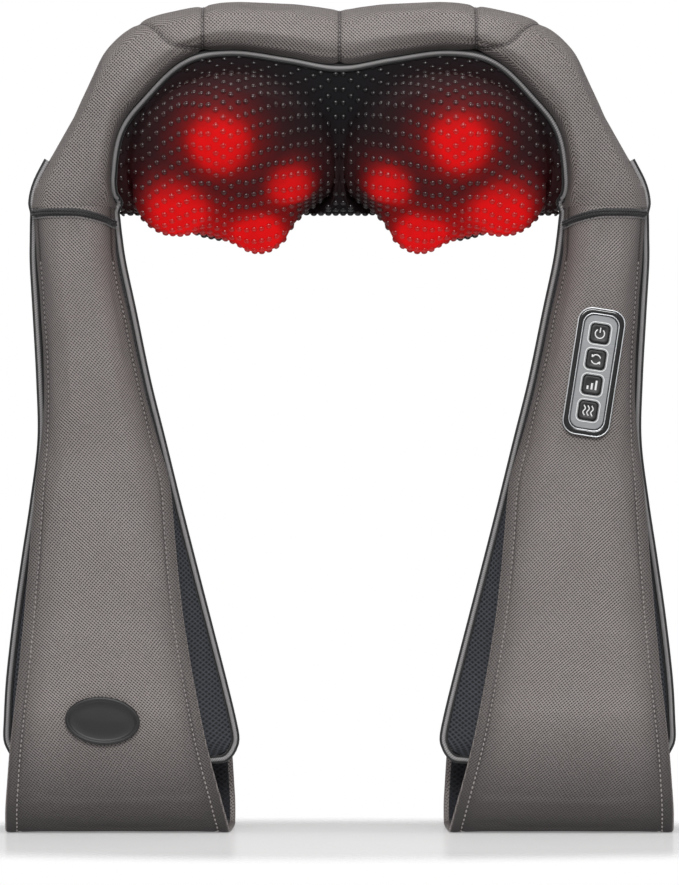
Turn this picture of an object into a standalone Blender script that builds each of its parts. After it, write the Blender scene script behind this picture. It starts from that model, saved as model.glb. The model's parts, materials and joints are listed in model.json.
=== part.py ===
"""Shiatsu neck massager: a padded U-shaped collar with two driven massage heads and two hand-loop arms.

It stands upright on the undersides of its two hand loops. +Z is up, -Y is the front, which the heads
face, and +X is on the right seen from the front. The helpers take millimetres, and Blender gets metres.
"""

import math

import bmesh
import bpy
import numpy as np
from mathutils import Matrix, Vector

MM = 0.001
GAP = 0.35  # clearance between pieces that rest on each other

# ---- driving dimensions, millimetres ----
DEPTH_SHIFT = 1.7  # brings the middle of the whole depth to y = 0
COLLAR_END_Z = 366.0  # where the collar's skin ends at each shoulder
ARM_TOP_Z = 334.0
HINGE_Y, HINGE_Z = -8.0, 350.0  # the arms bend about this line
LEATHER = 2.4
FABRIC = 1.4
FOAM = 4.0

HEAD_X = 63.0  # each massage head's axis, left and right of the middle
HEAD_Y, HEAD_Z = -22.0, 385.0  # centre of the plane that holds the massage nodes
HEAD_TILT = 32.0  # degrees that the heads look downwards
RING_R = 34.0  # massage nodes' distance from the head's axis
LARGE_R, SMALL_R = 24.0, 17.0
NODE_ANGLES = {"upper": -12.0, "outer": -108.0, "inner": 87.0, "lower": 153.0}

MODULE = 1.4
WHEEL_TEETH = 28
WHEEL_R = MODULE * WHEEL_TEETH / 2
WORM_R = 5.6
LEAD = math.pi * MODULE
ADDENDUM, DEDENDUM = 1.15, 1.65
TOOTH_SHARE = 0.41  # tooth thickness at the pitch line, as a share of the pitch
WHEEL_Z = -52.5  # middle of the gear's face, behind the node plane
FACE_WIDTH = 9.0
DRIVE_Y = WHEEL_R + WORM_R

CORE_Y, CORE_Z, CORE_R, CORE_HALF = 17.0, 400.0, 36.5, 96.0  # rounded padding under the gearbox

# Collar sections, right half: inner x and z, outer x and z, then how far from inner to outer the piping runs,
# the piping's y, the front's y, the ridge's y, the back's y, how far out the back edge is, and that edge's y
COLLAR_TABLE = (
    (0.0, 363.5, 0.0, 483.5, 0.708, -34.0, -46.0, -4.0, 63.0, 0.120, 58.0),
    (30.0, 363.5, 30.0, 486.6, 0.728, -35.0, -47.0, -4.0, 63.0, 0.118, 58.0),
    (62.0, 363.5, 64.0, 487.2, 0.757, -36.5, -49.0, -5.0, 63.0, 0.117, 58.0),
    (88.0, 363.8, 92.0, 483.0, 0.735, -36.0, -49.5, -6.0, 62.0, 0.118, 57.6),
    (108.0, 364.5, 117.0, 475.8, 0.600, -33.0, -48.0, -7.0, 57.0, 0.110, 52.0),
    (121.0, 366.0, 137.0, 459.5, 0.480, -29.0, -45.0, -7.5, 48.0, 0.090, 41.0),
    (127.5, 367.5, 151.0, 434.5, 0.260, -23.0, -42.0, -8.0, 38.0, 0.060, 28.0),
    (130.0, 368.4, 163.0, 412.0, 0.070, -15.0, -39.5, -8.0, 29.0, 0.030, 17.0),
    (130.6, 368.2, 172.5, 394.5, 0.015, -11.0, -37.5, -8.0, 22.0, 0.015, 9.0),
    (130.6, 367.2, 179.0, 380.0, 0.005, -9.5, -36.0, -8.0, 17.0, 0.005, 5.0),
    (130.5, COLLAR_END_Z, 181.4, COLLAR_END_Z, 0.0, -9.0, -35.0, -8.0, 14.5, 0.0, 3.0),
)

ROUNDNESS = 3  # power of the arms' cross-section: higher is flatter across
# Arm outline, right arm: z, inner x, outer x, edge y, front bulge, back bulge
ARM_TABLE = (
    (ARM_TOP_Z, 126.0, 181.8, -8.0, 26.5, 22.0),
    (306.0, 120.0, 180.2, -7.8, 27.0, 21.5),
    (265.0, 111.5, 178.0, -7.2, 27.5, 21.0),
    (230.0, 102.8, 177.4, -6.4, 27.5, 20.5),
    (194.0, 94.0, 180.6, -5.4, 24.5, 20.0),
    (160.0, 85.4, 184.8, -4.4, 20.5, 19.5),
    (125.0, 76.4, 189.6, -3.4, 18.0, 19.0),
    (90.0, 67.4, 194.4, -2.6, 16.5, 18.0),
    (66.0, 61.6, 197.4, -2.2, 15.5, 17.0),
    (54.0, 59.6, 197.6, -2.0, 14.0, 15.0),
    (47.5, 61.6, 195.0, -2.0, 10.0, 11.0),
    (44.0, 67.0, 189.0, -2.0, 4.0, 4.5),
)

# Front leather and hand loop, right arm: middle y, z, how far the edges sit back, inner x, outer x
STRAP_TABLE = (
    (-37.0, 332.5, 19.5, 130.4, 177.4),
    (-37.3, 300.0, 19.5, 123.4, 175.0),
    (-37.4, 265.0, 19.0, 116.0, 173.4),
    (-37.6, 236.0, 16.0, 108.8, 174.2),
    (-39.6, 205.0, 10.5, 100.0, 177.4),
    (-43.0, 170.0, 8.0, 96.6, 180.0),
    (-45.6, 130.0, 6.5, 92.4, 183.2),
    (-47.0, 90.0, 6.0, 86.0, 187.0),
    (-47.0, 52.0, 5.0, 78.4, 191.2),
    (-44.0, 20.0, 2.5, 70.0, 193.6),
    (-36.0, 4.0, 0.5, 65.8, 194.2),
    (-28.0, LEATHER / 2, 0.0, 65.0, 194.2),
    (-2.0, LEATHER / 2, 0.0, 64.0, 194.2),
    (24.0, LEATHER / 2, 0.0, 63.4, 194.0),
    (32.0, 4.0, 0.0, 63.2, 193.6),
    (38.0, 20.0, -1.0, 63.6, 192.6),
    (39.0, 52.0, -2.0, 66.0, 190.6),
    (35.0, 88.0, -4.0, 70.4, 188.0),
    (27.5, 122.0, -7.0, 75.0, 185.0),
    (19.6, 152.0, -11.0, 80.0, 181.0),
)
LINING_FROM = 6  # the loop's mesh lining starts at this row of the strap

PANEL_X, PANEL_Y, PANEL_Z = 148.4, -39.4, 269.0
PANEL_LEAN = 8.8  # degrees, top outwards
BUTTON_PITCH = 15.1
BUTTON_SIDE = 10.8
BUTTON_NAMES = ("heat", "speed", "direction", "power")  # bottom to top

ZIPPER_HALF = 92.0
ZIPPER_Y, ZIPPER_Z = 57.6, 373.4

# ---- colours, roughness and metallic value of each material ----
FINISHES = {
    "leather": ((0.215, 0.185, 0.175), 0.55, 0.0),
    "mesh_fabric": ((0.012, 0.012, 0.014), 0.80, 0.0),
    "lining": ((0.018, 0.019, 0.024), 0.75, 0.0),
    "piping": ((0.230, 0.225, 0.225), 0.35, 0.0),
    "trim": ((0.010, 0.010, 0.010), 0.60, 0.0),
    "foam": ((0.620, 0.600, 0.520), 0.95, 0.0),
    "housing": ((0.045, 0.045, 0.048), 0.50, 0.0),
    "gear": ((0.780, 0.760, 0.700), 0.40, 0.0),
    "node": ((0.640, 0.010, 0.010), 0.25, 0.0),
    "steel": ((0.560, 0.570, 0.580), 0.30, 1.0),
    "brass": ((0.700, 0.520, 0.260), 0.35, 1.0),
    "silver_plastic": ((0.480, 0.490, 0.500), 0.35, 0.2),
    "black_plastic": ((0.012, 0.012, 0.012), 0.30, 0.0),
    "board": ((0.020, 0.130, 0.060), 0.50, 0.0),
    "wire": ((0.050, 0.050, 0.050), 0.50, 0.0),
    "rubber": ((0.014, 0.014, 0.014), 0.55, 0.0),
}


# ---- general helpers ----
def clear_scene():
    for obj in list(bpy.data.objects):
        bpy.data.objects.remove(obj, do_unlink=True)


def make_materials():
    made = {}
    for name, (colour, roughness, metallic) in FINISHES.items():
        material = bpy.data.materials.new(name)
        material.use_nodes = True
        shader = material.node_tree.nodes["Principled BSDF"]
        shader.inputs["Base Color"].default_value = (*colour, 1.0)
        shader.inputs["Roughness"].default_value = roughness
        shader.inputs["Metallic"].default_value = metallic
        made[name] = material
    return made


def empty(name, location, rotation=(0.0, 0.0, 0.0), parent=None):
    """An axis to place pieces on: location in mm, rotation in degrees."""
    obj = bpy.data.objects.new(name, None)
    bpy.context.scene.collection.objects.link(obj)
    obj.location = Vector(location) * MM
    obj.rotation_euler = [math.radians(a) for a in rotation]
    obj.parent = parent
    return obj


def finish(name, bm, material, parent, smooth=35.0):
    """Turns a bmesh in mm into a named object."""
    bmesh.ops.recalc_face_normals(bm, faces=bm.faces)
    bmesh.ops.transform(bm, matrix=Matrix.Scale(MM, 4), verts=bm.verts)
    mesh = bpy.data.meshes.new(name)
    bm.to_mesh(mesh)
    bm.free()
    mesh.shade_smooth()
    mesh.set_sharp_from_angle(angle=math.radians(smooth))
    obj = bpy.data.objects.new(name, mesh)
    obj.data.materials.append(material)
    bpy.context.scene.collection.objects.link(obj)
    obj.parent = parent
    return obj


def combine(obj, other, operation):
    """Joins or cuts obj with another object, which is then only a helper."""
    other.hide_render = True
    other.display_type = "WIRE"
    modifier = obj.modifiers.new(operation.lower(), "BOOLEAN")
    modifier.operation = operation
    modifier.object = other
    return obj


def smooth_rows(rows, count):
    """Rows of numbers, resampled to count rows on a Catmull-Rom curve through them."""
    rows = np.array(rows, float)
    padded = np.vstack([2 * rows[0] - rows[1], rows, 2 * rows[-1] - rows[-2]])
    at = np.linspace(0, len(rows) - 1, count)
    first = np.minimum(at.astype(int), len(rows) - 2)
    t = (at - first)[:, None]
    a, b, c, d = (padded[first + k] for k in range(4))
    return 0.5 * (2 * b + (c - a) * t + (2 * a - 5 * b + 4 * c - d) * t**2 + (3 * b - a - 3 * c + d) * t**3)


def grid_faces(bm, grid):
    """Quads over a grid of bmesh vertices."""
    for row, following in zip(grid, grid[1:]):
        for k in range(len(row) - 1):
            bm.faces.new((row[k], row[k + 1], following[k + 1], following[k]))


def thick_sheet(name, outer, inner, material, parent, smooth=60.0):
    """A closed solid between two grids of points of the same size."""
    bm = bmesh.new()
    sides = []
    for points in (outer, inner):
        sides.append([[bm.verts.new(p) for p in row] for row in points])
    for side in sides:
        grid_faces(bm, side)
    for rim in (
        [[s[0][k] for k in range(len(s[0]))] for s in sides],
        [[s[-1][k] for k in range(len(s[-1]))] for s in sides],
        [[row[0] for row in s] for s in sides],
        [[row[-1] for row in s] for s in sides],
    ):
        grid_faces(bm, rim)
    return finish(name, bm, material, parent, smooth)


def lofted(name, rings, material, parent, smooth=50.0):
    """A closed solid through rings of points, with flat caps."""
    bm = bmesh.new()
    made = [[bm.verts.new(p) for p in ring] for ring in rings]
    for ring, following in zip(made, made[1:]):
        count = len(ring)
        for k in range(count):
            j = (k + 1) % count
            bm.faces.new((ring[k], ring[j], following[j], following[k]))
    bm.faces.new(made[0])
    bm.faces.new(reversed(made[-1]))
    return finish(name, bm, material, parent, smooth)


def turned(name, profile, material, parent, centre=(0, 0, 0), axis="Z", sides=20, smooth=35.0):
    """A profile of (radius, height) points, in order and closed, spun round an axis."""
    bm = bmesh.new()
    columns = []
    for k in range(sides):
        angle = 2 * math.pi * k / sides
        column = []
        for radius, height in profile:
            if radius == 0 and columns:
                column.append(columns[0][len(column)])
            else:
                column.append(bm.verts.new((radius * math.cos(angle), radius * math.sin(angle), height)))
        columns.append(column)
    count = len(profile)
    for k in range(sides):
        here, after = columns[k], columns[(k + 1) % sides]
        for i in range(count):
            j = (i + 1) % count
            corners = [here[i], here[j], after[j], after[i]]
            corners = [v for n, v in enumerate(corners) if v not in corners[:n]]
            if len(corners) > 2:
                bm.faces.new(corners)
    quarter = math.pi / 2
    turns = {"Z": Matrix(), "X": Matrix.Rotation(quarter, 4, "Y"), "Y": Matrix.Rotation(-quarter, 4, "X")}
    bmesh.ops.transform(bm, matrix=Matrix.Translation(centre) @ turns[axis], verts=bm.verts)
    return finish(name, bm, material, parent, smooth)


def ring_profile(inner, outer, low, high):
    return [(inner, low), (outer, low), (outer, high), (inner, high)]


def rod_profile(radius, low, high):
    return [(0, low), (radius, low), (radius, high), (0, high)]


def rounded_outline(width, height, radius, steps=4):
    """Points round a rectangle with round corners, centred on the origin."""
    points = []
    for quarter, (sx, sy) in enumerate(((1, 1), (-1, 1), (-1, -1), (1, -1))):
        for k in range(steps + 1):
            angle = math.pi / 2 * (quarter + k / steps)
            points.append(
                (
                    sx * (width / 2 - radius) + radius * math.cos(angle),
                    sy * (height / 2 - radius) + radius * math.sin(angle),
                )
            )
    return points


def plate(name, width, height, radius, low, high, material, parent, centre=(0, 0), edge=0.0, steps=4):
    """A rounded plate across its parent's Z axis, from z = low to z = high; edge chamfers its top."""
    levels = [(low, 0.0), (high - edge, 0.0)]
    if edge:
        levels.append((high, edge))
    rings = []
    for level, inset in levels:
        outline = rounded_outline(width - 2 * inset, height - 2 * inset, max(radius - inset, 0.3), steps)
        rings.append([(x + centre[0], y + centre[1], level) for x, y in outline])
    return lofted(name, rings, material, parent, smooth=30.0)


def tube(name, points, radius, material, parent, sides_level=1):
    """A round cord along points in mm, with filled ends."""
    curve = bpy.data.curves.new(name, "CURVE")
    curve.dimensions = "3D"
    curve.bevel_depth = radius * MM
    curve.bevel_resolution = sides_level
    curve.use_fill_caps = True
    spline = curve.splines.new("POLY")
    spline.points.add(len(points) - 1)
    for target, point in zip(spline.points, points):
        target.co = (*(c * MM for c in point), 1.0)
    obj = bpy.data.objects.new(name, curve)
    curve.materials.append(material)
    bpy.context.scene.collection.objects.link(obj)
    obj.parent = parent
    return obj


# ---- collar: leather skin, foam, stretch cover, piping and zipper ----
def collar_rows(count):
    """The collar's section values from the left shoulder to the right one."""
    right = np.array(COLLAR_TABLE, float)
    left = right[:0:-1].copy()
    left[:, 0] *= -1
    left[:, 2] *= -1
    return smooth_rows(np.vstack([left, right]), count)


def section_points(row, count, inset):
    """One collar section's skin, from the piping over the front and top to the back edge, inset mm inside."""
    _, _, _, _, share, piping_y, front_y, ridge_y, back_y, edge_share, edge_y = row
    rest = 1 - share
    skin = smooth_rows(
        (
            (piping_y, share),
            (piping_y + 0.72 * (front_y - piping_y), share + 0.14 * rest),
            (front_y, share + 0.42 * rest),
            (front_y + 0.28 * (ridge_y - front_y), share + 0.83 * rest),
            (ridge_y, 1.0),
            (ridge_y + 0.62 * (back_y - ridge_y), 0.935),
            (ridge_y + 0.93 * (back_y - ridge_y), 0.75),
            (back_y, 0.50),
            (back_y + 0.30 * (edge_y - back_y), 0.27),
            (edge_y, edge_share),
        ),
        count,
    )
    foot, top = np.array([row[0], row[1]]), np.array([row[2], row[3]])
    length = np.linalg.norm(top - foot)
    skin[:, 1] *= length
    run = np.gradient(skin, axis=0)
    run /= np.linalg.norm(run, axis=1, keepdims=True)
    skin += inset * np.column_stack([run[:, 1], -run[:, 0]])
    flat = foot + skin[:, 1:] * (top - foot) / length
    return np.column_stack([flat[:, 0], skin[:, 0], flat[:, 1]])


def collar_grid(stations, count, inset=0.0):
    return np.array([section_points(row, count, inset) for row in collar_rows(stations)])


def head_matrix(side):
    """Places a massage head's own frame: +Z out of the head's face, +Y up its plane."""
    turn = Matrix.Rotation(math.radians(90 + HEAD_TILT), 4, "X")
    return Matrix.Translation((side * HEAD_X, HEAD_Y, HEAD_Z)) @ turn


def node_layout(side):
    """(name, x, y, radius) of the four massage nodes of a head, in the head's frame."""
    found = []
    for name, angle in NODE_ANGLES.items():
        radius = LARGE_R if name in ("upper", "outer") else SMALL_R
        turn = math.radians(angle)
        found.append((name, -side * RING_R * math.sin(turn), RING_R * math.cos(turn), radius))
    return found


def edge_direction(grid):
    """At each station, the way out of a skin across its first edge."""
    along = np.gradient(grid[:, 0], axis=0)
    along /= np.linalg.norm(along, axis=1, keepdims=True)
    away = grid[:, 0] - grid[:, 1]
    away -= np.sum(away * along, axis=1, keepdims=True) * along
    return away / np.linalg.norm(away, axis=1, keepdims=True)


def push_out(points, clearance):
    """Moves points out of the space the massage nodes sweep and of the padding that holds the cover out."""
    x = np.clip(points[..., 0], -CORE_HALF, CORE_HALF)
    axis = np.stack([x, np.full_like(x, CORE_Y), np.full_like(x, CORE_Z)], axis=-1)
    obstacles = [(axis, CORE_R)]
    for side in (-1, 1):
        frame = np.array(head_matrix(side))
        turn, origin = frame[:3, :3], frame[:3, 3]
        local = (points - origin) @ turn
        reach = np.linalg.norm(local[..., :2], axis=-1, keepdims=True)
        local[..., :2] *= np.minimum(1, RING_R / np.maximum(reach, 1e-6))
        local[..., 2] = np.clip(local[..., 2], -14, 0)
        obstacles.append((local @ turn.T + origin, LARGE_R + clearance))
    for centre, radius in obstacles:
        away = points - centre
        distance = np.linalg.norm(away, axis=-1, keepdims=True)
        points = np.where(distance < radius, centre + away * radius / np.maximum(distance, 1e-6), points)
    return points


def evenly_spaced(line):
    """The same polyline with its points at even steps along it."""
    steps = np.linalg.norm(np.diff(line, axis=0), axis=1)
    at = np.concatenate([[0], np.cumsum(steps)])
    even = np.linspace(0, at[-1], len(line))
    return np.column_stack([np.interp(even, at, line[:, k]) for k in range(3)])


def cover_grid(stations, count, clearance):
    """The stretch cover: a taut sheet from the piping to the back edge over the nodes and the padding."""
    skin = collar_grid(stations, count)
    top = skin[:, 0] + 7.0 * edge_direction(skin)
    share = np.abs(np.linspace(-1, 1, stations))[:, None]
    down = skin[:, -1] - skin[:, -2]
    down /= np.linalg.norm(down, axis=1, keepdims=True)
    narrow = np.clip((share - 0.72) / 0.2, 0, 1)
    bottom = skin[:, -1] + down * (8.6 - 6.2 * narrow)
    bulge = np.array([0.0, -130.0, -80.0]) * (1 - share**3)
    t = np.linspace(0, 1, count)[None, :, None]
    middle = (top + bottom) / 2 + bulge
    points = (1 - t) ** 2 * top[:, None] + 2 * t * (1 - t) * middle[:, None] + t**2 * bottom[:, None]
    for _ in range(30):
        for _ in range(30):
            inner = (points[:-2, 1:-1] + points[2:, 1:-1] + points[1:-1, :-2] + points[1:-1, 2:]) / 4
            points[1:-1, 1:-1] = push_out(inner, clearance)
        points = np.array([evenly_spaced(line) for line in points])
        points[1:-1, 1:-1] = push_out(points[1:-1, 1:-1], clearance)
    return points


def build_collar(parent, mats):
    outer = collar_grid(29, 13)
    thick_sheet("collar_cover", outer, collar_grid(29, 13, LEATHER), mats["leather"], parent)
    foam_in = LEATHER + 3.6
    foam = [collar_grid(29, 13, inset)[2:-2:2, 2::2] for inset in (foam_in, foam_in + FOAM)]
    thick_sheet("collar_foam", *foam, mats["foam"], parent)

    cover = cover_grid(27, 17, FABRIC + 2.6)
    across = np.gradient(cover, axis=0)
    along = np.gradient(cover, axis=1)
    normal = np.cross(across, along)
    normal /= np.linalg.norm(normal, axis=-1, keepdims=True)
    if normal[13, 8, 1] > 0:
        normal = -normal
    thick_sheet("massage_cover", cover, cover - FABRIC * normal, mats["mesh_fabric"], parent)

    tube("neck_piping", (outer[:, 0] + 3.2 * edge_direction(outer))[1:-1], 1.6, mats["piping"], parent)


def build_zipper(parent, mats):
    """Closing zipper along the back: tape with its chain, slider and pull."""
    frame = empty("zipper_frame", (0, ZIPPER_Y, ZIPPER_Z), parent=parent)
    pitch, tooth, crest = 8.0, 5.0, 0.6
    profile = [(-ZIPPER_HALF, 1.4)]
    x = 2 - ZIPPER_HALF
    while x < ZIPPER_HALF - 4:
        profile += [(x, 1.4), (x + 0.3, 1.4 + crest), (x + tooth, 1.4 + crest), (x + tooth + 0.3, 1.4)]
        x += pitch
    profile.append((ZIPPER_HALF, 1.4))
    outline = [*profile, (ZIPPER_HALF, -0.2), (-ZIPPER_HALF, -0.2)]
    rings = [[(px, py, pz) for px, py in outline] for pz in (-1.7, 1.7)]
    chain = lofted("zipper_chain", rings, mats["trim"], frame)
    tape = bmesh.new()
    bmesh.ops.create_cube(tape, size=1.0)
    bmesh.ops.scale(tape, vec=(2 * ZIPPER_HALF + 4, 0.9, 7.6), verts=tape.verts)
    combine(finish("zipper_tape", tape, mats["lining"], frame), chain, "UNION")
    slider_x = ZIPPER_HALF - 10
    body = empty("slider_frame", (slider_x, 2.3, 0), (-90, 0, 0), parent=frame)
    lower = plate("slider_plate", 10.5, 6.4, 2.4, 0.0, 1.4, mats["steel"], body, edge=0.4)
    lower.name = "zipper_slider"
    bridge = plate("slider_bridge", 6.4, 1.6, 0.5, 1.0, 4.4, mats["steel"], body)
    combine(lower, bridge, "UNION")
    window = plate("bridge_window", 4.4, 8.0, 0.4, 1.6, 3.4, mats["steel"], body)
    combine(lower, window, "DIFFERENCE")
    pull = plate("zipper_pull", 22.0, 6.0, 2.2, 1.9, 3.1, mats["steel"], body, centre=(-10.4, 0))
    slot = plate("pull_slot", 4.6, 2.6, 0.5, -1.0, 6.0, mats["steel"], body, centre=(-2.9, 0))
    combine(pull, slot, "DIFFERENCE")


# ---- drive: chassis, motor, worms, wheels and massage heads ----
def worm(name, hand, centre_x, material, parent, turns=3, steps=12):
    """A single-start worm on the drive shaft, right-handed if hand is 1, with a crest towards its wheel."""
    root, crest, buried = WORM_R - DEDENDUM, WORM_R + ADDENDUM, WORM_R - DEDENDUM - 0.5
    flank = math.tan(math.radians(20))
    half = TOOTH_SHARE * LEAD / 2
    low_half, high_half = half + (WORM_R - buried) * flank, half - ADDENDUM * flank
    profile = ((-low_half, buried), (-high_half, crest), (high_half, crest), (low_half, buried))
    rings = []
    for i in range(-turns * steps // 2, turns * steps // 2 + 1):
        angle = 2 * math.pi * i / steps
        ring = []
        for along, radius in profile:
            x = centre_x + hand * LEAD * i / steps + along
            ring.append((x, DRIVE_Y - radius * math.cos(angle), WHEEL_Z - radius * math.sin(angle)))
        rings.append(ring)
    thread = lofted(name + "_thread", rings, material, parent)
    reach = LEAD * turns / 2 + 4
    tube_profile = ring_profile(2.0, root, -reach, reach)
    core = turned(name, tube_profile, material, parent, (centre_x, DRIVE_Y, WHEEL_Z), "X", steps)
    return combine(core, thread, "UNION")


def worm_wheel(name, hand, material, parent, layers=2):
    """The gear that a worm drives, with teeth twisted to follow the worm's lead, and a plain bore."""
    tip, root = WHEEL_R + ADDENDUM, WHEEL_R - DEDENDUM
    flank = math.tan(math.radians(20))
    half = TOOTH_SHARE * LEAD / 2
    step = 2 * math.pi / WHEEL_TEETH
    twist = math.tan(math.atan2(LEAD, 2 * math.pi * WORM_R)) / WHEEL_R
    bore, hub = 5.35, 9.0
    rings = []
    for layer in range(layers):
        z = (layer / (layers - 1) - 0.5) * FACE_WIDTH
        ring = []
        for tooth in range(WHEEL_TEETH):
            middle = math.pi / 2 + (tooth + 0.5) * step + hand * z * twist
            for radius, width in ((root, half + DEDENDUM * flank), (tip, half - ADDENDUM * flank)):
                ring.append((radius, middle - width / WHEEL_R))
            for radius, width in ((tip, half - ADDENDUM * flank), (root, half + DEDENDUM * flank)):
                ring.append((radius, middle + width / WHEEL_R))
        rings.append([(r * math.cos(a), r * math.sin(a), WHEEL_Z + z) for r, a in ring])
    gear = lofted(name, rings, material, parent, smooth=25.0)
    boss_profile = ring_profile(bore + 0.5, hub, WHEEL_Z - 5.6, WHEEL_Z + 7.0)
    combine(gear, turned(name + "_boss", boss_profile, material, parent), "UNION")
    cutter = turned(name + "_bore", rod_profile(bore, WHEEL_Z - 12, WHEEL_Z + 12), material, parent)
    return combine(gear, cutter, "DIFFERENCE")


def massage_node(name, radius, x, y, material, parent):
    """A domed node with a blind socket for its post."""
    base, socket = -14.0 * radius / LARGE_R, 5.0
    low_angle = math.asin(base / radius)
    profile = [(socket, base)]
    steps = 5
    for k in range(steps):
        angle = low_angle + (math.pi / 2 - low_angle) * k / steps
        profile.append((radius * math.cos(angle), radius * math.sin(angle)))
    profile += [(0, radius), (0, 0), (socket, 0)]
    return turned(name, profile, material, parent, centre=(x, y, 0), sides=14, smooth=50)


def node_carrier(name, side, material, parent):
    """Hub with four arms and the posts that hold the massage nodes."""
    hub = turned(name, ring_profile(5.0 + GAP, 11.5, -30.5, -21.5), material, parent)
    for node, x, y, radius in node_layout(side):
        base = -14.0 * radius / LARGE_R
        reach, turn = math.hypot(x, y), math.atan2(y, x)
        arm = bmesh.new()
        near, far = 8.5, reach
        outline = ((near, -6.0), (far, -4.6), (far, 4.6), (near, 6.0))
        low = [arm.verts.new((px, py, -29.8)) for px, py in outline]
        high = [arm.verts.new((px, py, -24.4)) for px, py in outline]
        for k in range(4):
            j = (k + 1) % 4
            arm.faces.new((low[k], low[j], high[j], high[k]))
        arm.faces.new(low)
        arm.faces.new(list(reversed(high)))
        bmesh.ops.rotate(arm, matrix=Matrix.Rotation(turn, 3, "Z"), verts=arm.verts)
        bar = finish(f"{name}_{node}_arm", arm, material, parent)
        combine(hub, bar, "UNION")
        shoulder = base - GAP
        profile = [(0, -30.2), (7.2, -30.2), (7.2, shoulder), (4.6, shoulder), (4.6, -0.5), (0, -0.5)]
        post = turned(f"{name}_{node}_post", profile, material, parent, centre=(x, y, 0), sides=14)
        combine(hub, post, "UNION")
    return hub


def build_heads(parent, mats):
    for side, word in ((-1, "left"), (1, "right")):
        frame = empty(f"head_{word}_axis", (side * HEAD_X, 0, 0), parent=parent)
        worm_wheel(f"worm_wheel_{word}", -side, mats["gear"], frame)
        shaft_profile = ring_profile(3.0, 5.0, -63.5, -21.0)
        turned(f"output_shaft_{word}", shaft_profile, mats["steel"], frame, sides=20)
        node_carrier(f"node_carrier_{word}", side, mats["black_plastic"], frame)
        for node, x, y, radius in node_layout(side):
            size = "large" if radius == LARGE_R else "small"
            massage_node(f"{size}_node_{word}_{node}", radius, x, y, mats["node"], frame)
        turned(f"output_bush_{word}", ring_profile(5.1, 8.6, -38.8, -33.2), mats["brass"], frame, sides=20)
        foot = FLOOR + GAP
        dome = [(7.5, -18.5), (7.5, -15.5), (5.4, -11.5), (2.6, -9.0), (0, -8.2)]
        lamp = [(0, foot), (2.3, foot), (2.3, -18.5), *dome]
        turned(f"heat_lamp_{word}", lamp, mats["node"], frame, sides=16)


CHASSIS_X, CHASSIS_LOW, CHASSIS_HIGH = 92.0, -26.0, 46.0
CHASSIS_BACK, CHASSIS_FRONT = -68.0, -38.2
BUSH_X, SHAFT_HALF = 84.0, 87.5
WALL = 2.5
FLOOR = CHASSIS_BACK + WALL  # inner face of the base
MOTOR_R, MOTOR_HALF = 12.5, 24.0


def build_chassis(parent, mats):
    centre = (0, (CHASSIS_LOW + CHASSIS_HIGH) / 2)
    width, height, plastic = 2 * CHASSIS_X, CHASSIS_HIGH - CHASSIS_LOW, mats["housing"]
    base = plate("chassis_base", width, height, 10, CHASSIS_BACK, CHASSIS_FRONT, plastic, parent, centre)
    room = plate("base_inside", width - 2 * WALL, height - 2 * WALL, 8, FLOOR, 0, plastic, parent, centre)
    combine(base, room, "DIFFERENCE")
    cover = plate("gearbox_cover", width, height, 10, -37.8, -34.4, plastic, parent, centre, edge=0.8)
    for side, word in ((-1, "left"), (1, "right")):
        axis = (side * HEAD_X, 0, 0)
        boss_profile = ring_profile(5.4, 8.5, FLOOR - 1, WHEEL_Z - 6.4)
        combine(base, turned(f"base_boss_{word}", boss_profile, plastic, parent, axis), "UNION")
        hole = turned(f"cover_hole_{word}", rod_profile(8.9, -45, -25), plastic, parent, axis)
        combine(cover, hole, "DIFFERENCE")
        x, brass = side * BUSH_X, mats["brass"]
        block = plate(f"shaft_bush_{word}", 6, 13, 1.5, FLOOR + GAP, WHEEL_Z + 5, brass, parent, (x, DRIVE_Y))
        bore = rod_profile(1.7, -10, 10)
        cut = turned(f"bush_bore_{word}", bore, brass, parent, (x, DRIVE_Y, WHEEL_Z), "X", 14)
        combine(block, cut, "DIFFERENCE")


def build_motor(parent, mats):
    centre = (0, DRIVE_Y, WHEEL_Z)
    half, hole, inside = MOTOR_HALF, 2.4, MOTOR_R - 1.4
    can = [(hole, -half), (MOTOR_R, -half), (MOTOR_R, half - 2)]
    can += [(inside, half - 2), (inside, 1.6 - half), (hole, 1.6 - half)]
    turned("motor_can", can, mats["steel"], parent, centre, "X", 20)
    cap = ring_profile(hole, MOTOR_R, half - 1.6, half + 1.4)
    turned("motor_end_cap", cap, mats["black_plastic"], parent, centre, "X", 20)
    rod, armature, armature_half = 1.6, 7.5, half - 5
    shaft = [(0, -SHAFT_HALF), (rod, -SHAFT_HALF), (rod, -armature_half), (armature, -armature_half)]
    shaft += [(radius, -height) for radius, height in reversed(shaft)]
    turned("motor_shaft", shaft, mats["steel"], parent, centre, "X", 14)
    for side, word in ((-1, "left"), (1, "right")):
        worm(f"worm_{word}", -side, side * HEAD_X, mats["steel"], parent)

    inner, outer, foot = MOTOR_R + 0.4, MOTOR_R + 1.8, FLOOR + GAP
    outline = [(DRIVE_Y - outer - 5, foot), (DRIVE_Y - outer - 5, foot + 1.8), (DRIVE_Y - outer, foot + 1.8)]
    outline += half_circle(outer, 1)
    outline += [(DRIVE_Y + outer, foot), (DRIVE_Y + inner, foot)]
    outline += half_circle(inner, -1)
    outline.append((DRIVE_Y - inner, foot))
    rings = [[(x, y, z) for y, z in outline] for x in (-6.0, 6.0)]
    lofted("motor_strap", rings, mats["steel"], parent, smooth=30)


def half_circle(radius, way, steps=10):
    """(y, z) points over the motor, from low y to high y if way is 1 and back if it is -1."""
    angles = [math.pi * k / steps for k in range(steps + 1)]
    return [(DRIVE_Y - way * radius * math.cos(a), WHEEL_Z + radius * math.sin(a)) for a in angles]


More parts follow.
